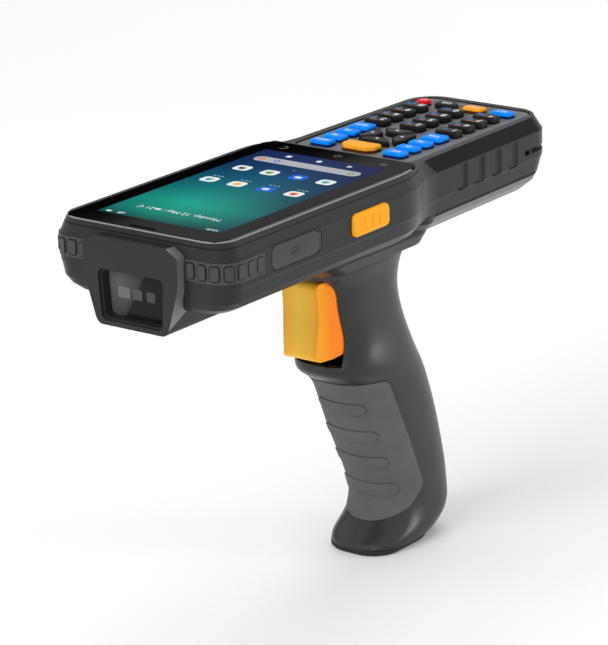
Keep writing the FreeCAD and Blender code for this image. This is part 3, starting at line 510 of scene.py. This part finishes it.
def settle(name, mesh, material, body):
    """A new piece in its finish, riding on its body."""
    piece = bpy.data.objects.new(name, mesh)
    bpy.context.scene.collection.objects.link(piece)
    mesh.materials.clear()
    mesh.materials.append(material)
    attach(piece, body)
    return piece


def in_metres(bm, matrix):
    bmesh.ops.transform(bm, matrix=Matrix.Scale(MM, 4) @ matrix, verts=bm.verts)


def plate(name, outline, matrix, height, edge, material, body):
    """Flat piece through an outline in millimetres, with its top edge rounded off."""
    bm = bmesh.new()
    floor = bm.faces.new([bm.verts.new((x, y, 0.0)) for x, y in outline])
    grown = bmesh.ops.extrude_face_region(bm, geom=[floor])["geom"]
    top_verts = [item for item in grown if isinstance(item, bmesh.types.BMVert)]
    bmesh.ops.translate(bm, verts=top_verts, vec=(0.0, 0.0, height))
    if edge:
        rim = [e for e in bm.edges if all(v.co.z > height * 0.5 for v in e.verts)]
        bmesh.ops.bevel(bm, geom=rim, offset=edge, segments=2, profile=0.6, affect="EDGES")
    bmesh.ops.recalc_face_normals(bm, faces=bm.faces)
    in_metres(bm, matrix)
    mesh = bpy.data.meshes.new(name)
    bm.to_mesh(mesh)
    bm.free()
    return settle(name, mesh, material, body)


def stroke(name, path, width, closed, matrix, height, material, body):
    """Line of even width along a path, as a flat raised piece."""
    count = len(path)
    left, right = [], []
    for i, point in enumerate(path):
        before = path[i - 1] if closed or i else point
        after = path[(i + 1) % count] if closed or i + 1 < count else point
        run = Vector((after[0] - before[0], after[1] - before[1])).normalized()
        side = Vector((-run.y, run.x)) * (width / 2)
        left.append((point[0] + side.x, point[1] + side.y))
        right.append((point[0] - side.x, point[1] - side.y))
    bm = bmesh.new()
    rows = [[bm.verts.new((x, y, z)) for x, y in line] for line, z in
            ((left, 0.0), (left, height), (right, height), (right, 0.0))]
    spans = count if closed else count - 1
    for i in range(spans):
        j = (i + 1) % count
        for upper, lower in zip(rows, rows[1:] + rows[:1]):
            bm.faces.new((upper[i], upper[j], lower[j], lower[i]))
    if not closed:
        bm.faces.new([row[0] for row in rows])
        bm.faces.new([row[-1] for row in reversed(rows)])
    bmesh.ops.recalc_face_normals(bm, faces=bm.faces)
    in_metres(bm, matrix)
    mesh = bpy.data.meshes.new(name)
    bm.to_mesh(mesh)
    bm.free()
    return settle(name, mesh, material, body)


def words(name, text, size, matrix, material, body, weight=0.0):
    """Printed characters, centred on the matrix."""
    curve = bpy.data.curves.new(name + "_line", "FONT")
    curve.body = text
    curve.size = size
    curve.extrude = skin / 2
    curve.offset = weight
    curve.align_x = "CENTER"
    curve.align_y = "CENTER"
    curve.resolution_u = 3
    writer = bpy.data.objects.new(name + "_line", curve)
    bpy.context.scene.collection.objects.link(writer)
    bpy.context.view_layer.update()
    mesh = bpy.data.meshes.new_from_object(writer.evaluated_get(bpy.context.evaluated_depsgraph_get()))
    bpy.data.objects.remove(writer)
    mesh.transform(Matrix.Scale(MM, 4) @ matrix)
    mesh.name = name
    return settle(name, mesh, material, body)


# Casing pieces made from the frame


def softened(node, width_mm, segments, material, body, sharp_degrees=35.0):
    """Copy of a node with its edges rounded over, which stands for the node."""
    mesh = frame["nodes"][node].data.copy()
    bm = bmesh.new()
    bm.from_mesh(mesh)
    bmesh.ops.remove_doubles(bm, verts=bm.verts, dist=1e-6)
    bmesh.ops.dissolve_limit(bm, angle_limit=math.radians(1.0), verts=bm.verts, edges=bm.edges)
    bm.to_mesh(mesh)
    bm.free()
    mesh.normals_split_custom_set([(0.0, 0.0, 0.0)] * len(mesh.loops))
    mesh.shade_smooth()
    mesh.set_sharp_from_angle(angle=math.radians(sharp_degrees))
    piece = settle(node + "_soft", mesh, material, body)
    bevel = piece.modifiers.new("edge", "BEVEL")
    bevel.width = width_mm * MM
    bevel.segments = segments
    bevel.limit_method = "ANGLE"
    bevel.angle_limit = math.radians(sharp_degrees)
    bevel.harden_normals = True
    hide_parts(node)
    return piece


def surface_strip(name, node, wanted, planes, lift_mm, material, body):
    """Thin skin on the faces of a node that are wanted, cut back by planes (point, normal)."""
    bm = bmesh.new()
    bm.from_mesh(frame["nodes"][node].data)
    bmesh.ops.remove_doubles(bm, verts=bm.verts, dist=1e-6)
    for point, normal in planes:
        bmesh.ops.bisect_plane(bm, geom=bm.verts[:] + bm.edges[:] + bm.faces[:], dist=1e-7,
                               plane_co=Vector(point) * MM, plane_no=normal, clear_inner=True)
    bm.normal_update()
    spare = [face for face in bm.faces if not wanted(face.calc_center_median() / MM, face.normal)]
    bmesh.ops.delete(bm, geom=spare, context="FACES")
    bm.normal_update()
    shifts = [(vert, vert.normal.copy()) for vert in bm.verts]
    for vert, normal in shifts:
        vert.co += normal * lift_mm * MM
    mesh = bpy.data.meshes.new(name)
    bm.to_mesh(mesh)
    bm.free()
    mesh.shade_smooth()
    mesh.set_sharp_from_angle(angle=math.radians(30.0))
    return settle(name, mesh, material, body)


def dress_nodes(finishes):
    """Every node that stays takes the finish of its material slot."""
    for node in frame["nodes"].values():
        slot = node.data.materials[0].name.split(".")[0]
        node.data.materials[0] = finishes[slot]


def slot_name(node):
    return next(part["material_slot"] for part in frame["record"]["subparts"] if part["node"] == node)


def body_name(node):
    return frame["nodes"][node]["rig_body"]


def make_soft_keys(finishes):
    for node in sorted(frame["nodes"]):
        if node.startswith("key_"):
            slot = slot_name(node)
            softened(node, 0.22, 3, finishes[slot], body_name(node))


def make_soft_casing(finishes):
    for node in ("side_button_right", "side_button_left"):
        softened(node, 0.3, 3, finishes["orange_plastic"], body_name(node))
    # The trigger's finish carries a painted highlight and painted shade.
    softened("trigger", 1.2, 4, trigger_painted_light_and_shade(), "trigger", 20.0)
    # Painted light: the battery cover takes the paler grey for its lit underside.
    frame["nodes"]["battery_cover"].data.materials[0] = finishes["casing_pale"]


def make_lacquer_strip(marks):
    """Glossy band on the bevel round the keypad section, from a slanted start on each side."""
    rise = keypad_rim_z - strip_bottom_z
    lean = strip_start_bottom - strip_start_top
    start = ((0.0, strip_start_top, keypad_rim_z), Vector((0.0, rise, lean)).normalized())

    def wanted(centre, normal):
        upright = 0.02 < normal.z < 0.92
        outside = normal.x * centre.x + normal.y * (centre.y - keypad_middle_y) > 0
        near_edge = (abs(centre.x) > strip_near_x - max(0.0, centre.y - strip_turn_y)
                     or centre.y > strip_far_y)
        return upright and outside and near_edge and strip_bottom_z < centre.z < keypad_rim_z

    surface_strip("lacquer_strip", "front_housing", wanted, [start], 0.03, marks["strip"],
                  "terminal")


def make_rim_highlight(marks):
    """Painted highlight: a bright line on the small bevel round the glass."""
    def wanted(centre, normal):
        outside = normal.x * centre.x + normal.y * (centre.y - display_middle_y) > 0
        upright = 0.3 < normal.z < 0.95
        return upright and outside and centre.z > rim_highlight_z and centre.y < rim_highlight_end

    surface_strip("rim_painted_highlight", "front_housing", wanted, [], 0.015, marks["rim"], "terminal")


def make_rim_groove_and_shade(marks):
    """Dark line on the bevel of the casing, all round the glass: a groove line along the sides, and painted
    shade under the rim's lip at the head.
    """
    up = Vector((0.0, 0.0, 1.0))
    planes = [((0.0, 0.0, rim_groove_bottom), up), ((0.0, 0.0, rim_groove_top), -up),
              ((0.0, rim_groove_end, 0.0), Vector((0.0, -1.0, 0.0)))]

    def wanted(centre, normal):
        outside = normal.x * centre.x + normal.y * (centre.y - display_middle_y) > 0
        on_side = 0.05 < normal.z < 0.95 and outside and abs(centre.x) > rim_groove_near_x
        return on_side or normal.y < -0.3

    surface_strip("rim_groove_and_shade", "front_housing", wanted, planes, 0.02, marks["groove"], "terminal")


def make_hood_painted_highlight(finishes):
    """Paler flanks of the nose hood: a painted highlight on the faces that turn outwards to the sides."""
    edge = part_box("scan_hood")[1].x / MM - flank_depth

    def wanted(centre, normal):
        return abs(centre.x) > edge and normal.x * centre.x > 0.45 * abs(centre.x)

    surface_strip("hood_flanks_painted_light", "scan_hood", wanted, [], 0.015, finishes["casing_pale"], "terminal")


def make_battery_seam(marks):
    """Dark joint line between the casing and the battery cover."""
    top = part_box("battery_cover")[1].z / MM
    cut = ((0.0, 0.0, top - seam_width), Vector((0.0, 0.0, 1.0)))

    def wanted(centre, normal):
        outside = normal.x * centre.x + normal.y * (centre.y - keypad_middle_y) > 0
        return abs(normal.z) < 0.8 and outside

    surface_strip("battery_seam", "battery_cover", wanted, [cut], 0.03, marks["groove"], "terminal")


# Nose


def make_bumper_tiles(finishes, marks):
    """Row of rounded rubber tiles round each corner of the head."""
    centre_x = casing_half_width - bumper_corner_r
    centre_y = bumper_face_y + bumper_corner_r
    radius = bumper_corner_r + 0.2
    front_run = centre_x - tile_start_x
    arc_run = radius * math.pi / 2
    side_run = tile_end_y - centre_y
    whole = front_run + arc_run + side_run
    for index in range(tile_count):
        run = whole * index / (tile_count - 1)
        if run < front_run:
            place = Vector((tile_start_x + run, centre_y - radius, 0.0))
            normal = Vector((0.0, -1.0, 0.0))
        elif run < front_run + arc_run:
            turn = (run - front_run) / radius
            normal = Vector((math.sin(turn), -math.cos(turn), 0.0))
            place = Vector((centre_x, centre_y, 0.0)) + normal * radius
        else:
            place = Vector((centre_x + radius, centre_y + run - front_run - arc_run, 0.0))
            normal = Vector((1.0, 0.0, 0.0))
        for side, sign in (("right", 1.0), ("left", -1.0)):
            out = Vector((normal.x * sign, normal.y, 0.0))
            up = Vector((0.0, 0.0, 1.0))
            across = up.cross(out)
            point = Vector((place.x * sign, place.y, bumper_middle_z))
            matrix = Matrix((
                (across.x, up.x, out.x, point.x),
                (across.y, up.y, out.y, point.y),
                (across.z, up.z, out.z, point.z),
                (0, 0, 0, 1)))
            plate("bumper_tile_%s_%d" % (side, index), rounded_rectangle(tile_width, tile_height, 0.8),
                  matrix, tile_proud, 0.2, finishes["bumper_rubber"], "terminal")
            stroke("tile_groove_%s_%d" % (side, index),
                   rounded_rectangle(tile_width + tile_gap, tile_height + tile_gap, 0.9), tile_gap, True,
                   matrix, tile_groove_height, marks["groove"], "terminal")


def make_window_painted_lights(marks):
    """Pale lens marks seen through the nose window, made to glow: painted light, as no lamp is there."""
    face_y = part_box("scan_window")[0].y / MM
    lights = ((-6.6, 4.9, 3.6, "lens_painted_light_near"), (-1.2, 3.9, 3.5, "lens_painted_light_middle"), (4.3, 3.4, 3.3, "lens_painted_light_far"))
    for x, width, height, finish in lights:
        plate("window_%s" % finish, rounded_rectangle(width, height, 0.3),
              on_front(x, window_painted_light_z, face_y), skin, 0.0, marks[finish], "terminal")


# Screen


def screen_level():
    """Height of the lit marks, on the picture."""
    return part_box("display_glass")[1].z / MM + skin


def lit(marks, name, outline, x, y, finish, lift=0.0):
    plate("screen_" + name, outline, on_top(x, y, screen_level() + lift), skin, 0.0, marks[finish],
          "terminal")


def make_picture(marks):
    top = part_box("display_glass")[1].z / MM
    length = display_end - display_start
    middle = (display_start + display_end) / 2
    plate("screen_picture", rounded_rectangle(2 * display_half_width, length, 0.3, 2),
          on_top(0.0, middle, top), skin, 0.0, marks["screen"], "terminal")


def make_search_bar(marks):
    lit(marks, "search_bar", rounded_rectangle(bar_length, bar_height, bar_corner_r, 10), bar_x, bar_y,
        "lit_pill")
    for index, (offset, finish) in enumerate(((-18.8, "lit_red"), (-12.4, "lit_blue"),
                                              (18.2, "lit_green"))):
        lit(marks, "search_mark_%d" % index, circle(bar_mark_r), bar_x + offset, bar_y, finish, skin)
        lit(marks, "search_core_%d" % index, circle(bar_core_r), bar_x + offset, bar_y, "lit_yellow",
            2 * skin)


def make_icon(marks, tag, x, y, colour):
    """Rounded tile with a plain shape on it; a blue tile carries a white bar."""
    solid = colour == "lit_blue"
    lit(marks, "icon_" + tag, rounded_rectangle(icon_width, icon_height, icon_corner_r), x, y,
        "lit_blue" if solid else "lit_white")
    core = rounded_rectangle(2.6, 1.9, 0.4) if solid else circle(icon_core_r)
    lit(marks, "icon_core_" + tag, core, x, y, "lit_white" if solid else colour, skin)
    if not solid:
        lit(marks, "icon_dot_" + tag, circle(icon_dot_r), x + 0.7, y + 0.5, "lit_yellow", 2 * skin)


def make_icons(marks):
    rows = ((-66.2, (17.4, 5.9, -5.9, -17.4), ("lit_red", "lit_blue", "lit_yellow", "lit_teal")),
            (-49.4, (17.8, 6.4, -5.3, -16.7), ("lit_teal", "lit_blue", "lit_green", "lit_dark")))
    for row, (y, columns, colours) in enumerate(rows):
        for column, (x, colour) in enumerate(zip(columns, colours)):
            tag = "%d_%d" % (row, column)
            make_icon(marks, tag, x, y, colour)
            if row == 0:
                for part, shift in enumerate((-1.5, 0.2, 1.7)):
                    lit(marks, "icon_label_%s_%d" % (tag, part), rounded_rectangle(1.2, 0.5, 0.2, 3),
                        x + shift, y + icon_label_drop, "lit_soft")


def make_navigation(marks):
    lit(marks, "page_dot", circle(0.3), 0.0, page_dot_y, "lit_soft")
    for index, (x, outline) in enumerate(((-12.6, rounded_rectangle(2.0, 1.9, 0.2)),
                                          (0.0, circle(1.05)),
                                          (12.8, [(-1.0, 0.0), (0.9, -1.1), (0.9, 1.1)]))):
        lit(marks, "navigation_%d" % index, outline, x + navigation_x, navigation_y, "lit_white")


def make_status(marks):
    """Clock, date, temperature, signal and battery signs at the head end."""
    level = screen_level()
    words("screen_clock", "10:09", status_text, on_top(20.8, status_y, level + skin / 2),
          marks["lit_white"], "terminal")
    words("screen_date", "Monday, 12 May", date_text, on_top(5.4, date_y, level + skin / 2),
          marks["lit_white"], "terminal")
    words("screen_degrees", "21 C", date_text, on_top(-14.0, date_y, level + skin / 2),
          marks["lit_white"], "terminal")
    lit(marks, "date_divider", rounded_rectangle(0.25, 2.6, 0.1, 2), -6.6, date_y, "lit_soft")
    lit(marks, "weather_puff", rounded_rectangle(2.6, 1.4, 0.65), -9.2, -103.1, "lit_white")
    for index, (width, height) in enumerate(((0.6, 0.8), (0.6, 1.2), (0.6, 1.6))):
        lit(marks, "signal_%d" % index, rounded_rectangle(width, height, 0.1, 2),
            -15.6 - index * 0.9, status_y + (1.6 - height) / 2, "lit_white")
    lit(marks, "battery_sign", rounded_rectangle(2.0, 1.2, 0.25, 3), -21.6, status_y, "lit_white")


def make_touch_marks(marks):
    """Back, home and menu marks on the glass below the picture."""
    level = screen_level()
    stroke("touch_back", arc(1.5, 60, 300), 0.4, False, on_top(*back_mark, level), skin,
           marks["cap_mark"], "terminal")
    stroke("touch_home", [(-1.5, -0.2), (0.0, 1.2), (1.5, -0.2), (1.0, -1.1), (-1.0, -1.1)], 0.35, True,
           on_top(*home_mark, level), skin, marks["cap_mark"], "terminal")
    x, y = menu_mark
    for index in range(3):
        plate("touch_menu_%d" % index, rounded_rectangle(2.8, 0.36, 0.15, 3),
              on_top(x, y + index * menu_pitch, level), skin, 0.0, marks["cap_mark"], "terminal")


def make_screen(marks):
    make_picture(marks)
    make_search_bar(marks)
    make_icons(marks)
    make_navigation(marks)
    make_status(marks)
    make_touch_marks(marks)


# Keypad marks


def key_middle(node):
    low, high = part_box(node)
    return (low.x + high.x) / 2 / MM, (low.y + high.y) / 2 / MM, high.z / MM


def key_mark(node, text, size, finish, marks, shift=(0.0, 0.0), weight=0.0):
    x, y, top = key_middle(node)
    matrix = on_top(x - shift[0], y - shift[1], top + skin / 2)
    name = "%s_mark_%d" % (node, len(bpy.data.objects))
    words(name, text, size, matrix, marks[finish], body_name(node), weight)


def make_key_marks(marks):
    letters = {"2": "ABC", "3": "DEF", "4": "GHI", "5": "JKL", "6": "MNO", "7": "PQRS", "8": "TUV",
               "9": "WXYZ"}
    names = ["1", "2", "3", "4", "5", "6", "7", "8", "9", "star", "0", "hash"]
    for index, name in enumerate(names):
        sign = {"star": "*", "hash": "#"}.get(name, name)
        key_mark("key_" + name, sign, 4.0, "white", marks, (-2.5, 0.0), 0.06)
        key_mark("key_" + name, "F%d" % (index + 1), 2.3, "blue", marks, (1.9, -0.5), 0.04)
        if name in letters:
            key_mark("key_" + name, letters[name], 1.35, "orange", marks, (0.6, 1.5), 0.02)
    for name, text in (("escape", "ESC"), ("camera", "P1"), ("page_up", "P2"), ("tab", "TAB"),
                       ("menu", "MENU"), ("home", "P3"), ("page_down", "P4"), ("enter", "ENT"),
                       ("blue", "ALT"), ("orange", "FN"), ("backspace", "DEL")):
        key_mark("key_" + name, text, 2.5 if len(text) < 4 else 2.1, "white", marks, (0.0, 0.1), 0.05)
    for name, turn in (("up", 90), ("left", 180), ("down", 270), ("right", 0)):
        x, y, top = key_middle("key_" + name)
        angle = math.radians(turn)
        tip = [(0.9, 0.0), (-0.6, 0.8), (-0.6, -0.8)]
        turned = [(px * math.cos(angle) - py * math.sin(angle), px * math.sin(angle) + py * math.cos(angle))
                  for px, py in tip]
        plate("key_%s_arrow" % name, turned, on_top(x, y, top), skin, 0.0, marks["white"],
              body_name("key_" + name))
    x, y, top = key_middle("key_power")
    stroke("key_power_ring", arc(1.05, 130, 410), 0.28, False, on_top(x, y, top), skin, marks["white"],
           "key_power")
    stroke("key_power_bar", [(0.0, 0.5), (0.0, 1.5)], 0.28, False, on_top(x, y, top), skin,
           marks["white"], "key_power")


def rounded_path(corners, radius, turns=6):
    """Closed path through the corners, in order, each rounded off."""
    points = []
    for i, corner in enumerate(corners):
        here = Vector(corner)
        before = (Vector(corners[i - 1]) - here).normalized()
        after = (Vector(corners[(i + 1) % len(corners)]) - here).normalized()
        half = before.angle(after) / 2
        centre = here + (before + after).normalized() * (radius / math.sin(half))
        start = here + before * (radius / math.tan(half)) - centre
        end = here + after * (radius / math.tan(half)) - centre
        for step in range(turns + 1):
            share = step / turns
            spoke = (start * (1.0 - share) + end * share).normalized() * radius
            points.append((centre.x + spoke.x, centre.y + spoke.y))
    return points


def make_panel_marks(marks, finishes):
    """Groove round the panel, the bare name plate and the microphone hole at its far end."""
    low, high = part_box("keypad_panel")
    top = high.z / MM
    near, far, half = low.y / MM, high.y / MM, high.x / MM
    corners = [(half, -near), (half - panel_taper, -far), (panel_taper - half, -far), (-half, -near)]
    stroke("panel_groove", rounded_path(corners, panel_corner_r), 0.55, True, on_top(0.0, 0.0, top),
           skin, marks["groove"], "terminal")
    plate_outline = [(-9.6, -1.3), (9.6, -1.3), (8.4, 1.6), (-8.4, 1.6)]
    plate("name_plate", plate_outline, on_top(*name_plate, top), 0.12, 0.06, finishes["panel"],
          "terminal")
    stroke("name_plate_groove", [(-10.1, -1.7), (10.1, -1.7), (8.8, 2.0), (-8.8, 2.0)], 0.3, True,
           on_top(*name_plate, top), skin, marks["groove"], "terminal")
    plate("microphone_hole", circle(0.45), on_top(*microphone, top), skin, 0.0, marks["groove"],
          "terminal")


def make_port_mark(marks):
    """Groove round the port cover and a plain capsule sign on it."""
    low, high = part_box("port_cover")
    face = casing_half_width
    middle_y, middle_z = (low.y + high.y) / 2 / MM, (low.z + high.z) / 2 / MM
    length, height = (high.y - low.y) / MM, (high.z - low.z) / MM
    stroke("port_groove", rounded_rectangle(length + port_gap, height + port_gap, 2.2), port_gap, True,
           on_right(middle_y, middle_z, face), skin, marks["groove"], "terminal")
    sign = on_right(port_sign_y, port_sign_z, face)
    stroke("port_sign_shell", rounded_rectangle(4.6, 1.9, 0.8), 0.28, True, sign, skin, marks["groove"],
           "port_cover")
    plate("port_sign_tongue", rounded_rectangle(2.6, 0.4, 0.15, 3), sign, skin, 0.0, marks["groove"],
          "port_cover")


# Camera, light and floor


def add_camera():
    azimuth, elevation = math.radians(camera_azimuth), math.radians(camera_elevation)
    roll = math.radians(camera_roll)
    right = Vector((math.cos(azimuth), math.sin(azimuth), 0.0))
    back = Vector((math.sin(azimuth) * math.cos(elevation), -math.cos(azimuth) * math.cos(elevation),
                   math.sin(elevation)))
    up = back.cross(right)
    across = right * math.cos(roll) + up * math.sin(roll)
    upward = up * math.cos(roll) - right * math.sin(roll)
    camera = bpy.data.objects.new("camera", bpy.data.cameras.new("camera"))
    bpy.context.scene.collection.objects.link(camera)
    rotation = Matrix((across, upward, back)).transposed().to_4x4()
    camera.matrix_world = Matrix.Translation(Vector(camera_place) * MM) @ rotation
    camera.data.sensor_width = sensor_size
    camera.data.lens = focal_pixels * sensor_size / image_height
    camera.data.clip_start = 0.05
    camera.data.clip_end = 50.0
    bpy.context.scene.camera = camera


def add_lamp(name, place, target, width, height, power, in_gloss):
    """Area lamp, which gloss shows only where in_gloss is set."""
    lamp = bpy.data.objects.new(name, bpy.data.lights.new(name, "AREA"))
    bpy.context.scene.collection.objects.link(lamp)
    lamp.data.shape = "RECTANGLE"
    lamp.data.size = width
    lamp.data.size_y = height
    lamp.data.energy = power
    lamp.visible_glossy = in_gloss
    lamp.location = place
    lamp.rotation_mode = "QUATERNION"
    lamp.rotation_quaternion = (Vector(target) - Vector(place)).to_track_quat("-Z", "Y")


def add_world():
    """White where the camera, a gloss or a glass sees it, and a plain soft light on the object."""
    world = bpy.data.worlds.new("studio")
    bpy.context.scene.world = world
    world.use_nodes = True
    tree = world.node_tree
    tree.nodes.clear()
    path = tree.nodes.new("ShaderNodeLightPath")
    seen = tree.nodes.new("ShaderNodeBackground")
    soft = tree.nodes.new("ShaderNodeBackground")
    seen.inputs["Color"].default_value = (1.0, 1.0, 1.0, 1.0)
    seen.inputs["Strength"].default_value = 1.0
    soft.inputs["Color"].default_value = (1.0, 1.0, 1.0, 1.0)
    soft.inputs["Strength"].default_value = soft_light
    either = tree.nodes.new("ShaderNodeMath")
    either.operation = "MAXIMUM"
    any_of = tree.nodes.new("ShaderNodeMath")
    any_of.operation = "MAXIMUM"
    tree.links.new(path.outputs["Is Camera Ray"], either.inputs[0])
    tree.links.new(path.outputs["Is Glossy Ray"], either.inputs[1])
    tree.links.new(either.outputs["Value"], any_of.inputs[0])
    tree.links.new(path.outputs["Is Transmission Ray"], any_of.inputs[1])
    mix = tree.nodes.new("ShaderNodeMixShader")
    output = tree.nodes.new("ShaderNodeOutputWorld")
    tree.links.new(any_of.outputs["Value"], mix.inputs["Fac"])
    tree.links.new(soft.outputs["Background"], mix.inputs[1])
    tree.links.new(seen.outputs["Background"], mix.inputs[2])
    tree.links.new(mix.outputs["Shader"], output.inputs["Surface"])


def add_floor():
    """Pale floor that stays white round the object and keeps its shadow."""
    bpy.ops.mesh.primitive_plane_add(size=floor_size, location=(0.0, 0.0, -floor_drop))
    floor = bpy.context.object
    floor.name = "floor"
    material, tree, shader = new_material("floor_paper")
    dark, light = [(tone, tone, tone, 1.0) for tone in (floor_dark_tone, floor_light_tone)]
    tree.links.new(ramp(tree, noise(tree, 400.0), [(0.3, dark), (0.7, light)]),
                   shader.inputs["Base Color"])
    shader.inputs["Roughness"].default_value = 0.9
    shader.inputs["Specular IOR Level"].default_value = 0.1
    path = tree.nodes.new("ShaderNodeLightPath")
    seen = tree.nodes.new("ShaderNodeMath")
    seen.operation = "MAXIMUM"
    tree.links.new(path.outputs["Is Camera Ray"], seen.inputs[0])
    tree.links.new(path.outputs["Is Glossy Ray"], seen.inputs[1])
    tree.links.new(spread(tree, seen.outputs["Value"], 0.0, floor_glow), shader.inputs["Emission Strength"])
    shader.inputs["Emission Color"].default_value = (1.0, 1.0, 1.0, 1.0)
    floor.data.materials.append(material)


def add_lights():
    add_lamp("key", key_lamp_place, key_lamp_aim, key_lamp_size, key_lamp_size, key_lamp_power, False)
    add_lamp("side", side_lamp_place, side_lamp_aim, side_lamp_width, side_lamp_height,
             side_lamp_power, True)
    add_lamp("back", back_lamp_place, back_lamp_aim, back_lamp_size, back_lamp_size,
             back_lamp_power, False)
    add_lamp("corner", corner_lamp_place, corner_lamp_aim, corner_lamp_width, corner_lamp_height,
             corner_lamp_power, True)


def add_card():
    """Dark card that only gloss sees."""
    edge = Vector(card_edge_run) * card_half_length
    middle = Vector(card_edge_middle)
    drop = Vector((0.0, 0.0, -card_depth))
    mesh = bpy.data.meshes.new("dark_card")
    mesh.from_pydata([middle - edge, middle + edge, middle + edge + drop, middle - edge + drop], [],
                     [(0, 1, 2, 3)])
    card = bpy.data.objects.new("dark_card", mesh)
    bpy.context.scene.collection.objects.link(card)
    mesh.materials.append(plastic("card_paper", (0.001, 0.001, 0.001, 1.0), 0.9, specular=0.0))
    card.visible_camera = False
    card.visible_diffuse = False
    card.visible_shadow = False


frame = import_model()
bpy.context.scene.view_settings.view_transform = "Standard"
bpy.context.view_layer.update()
add_camera()
finishes = make_finishes()
marks = make_marks()
marks["screen"] = screen_finish()
dress_nodes(finishes)
make_soft_keys(finishes)
make_soft_casing(finishes)
make_lacquer_strip(marks)
make_rim_highlight(marks)
make_rim_groove_and_shade(marks)
make_hood_painted_highlight(finishes)
make_battery_seam(marks)
make_bumper_tiles(finishes, marks)
make_window_painted_lights(marks)
make_screen(marks)
make_key_marks(marks)
make_panel_marks(marks, finishes)
make_port_mark(marks)
add_world()
add_floor()
add_lights()
add_card()
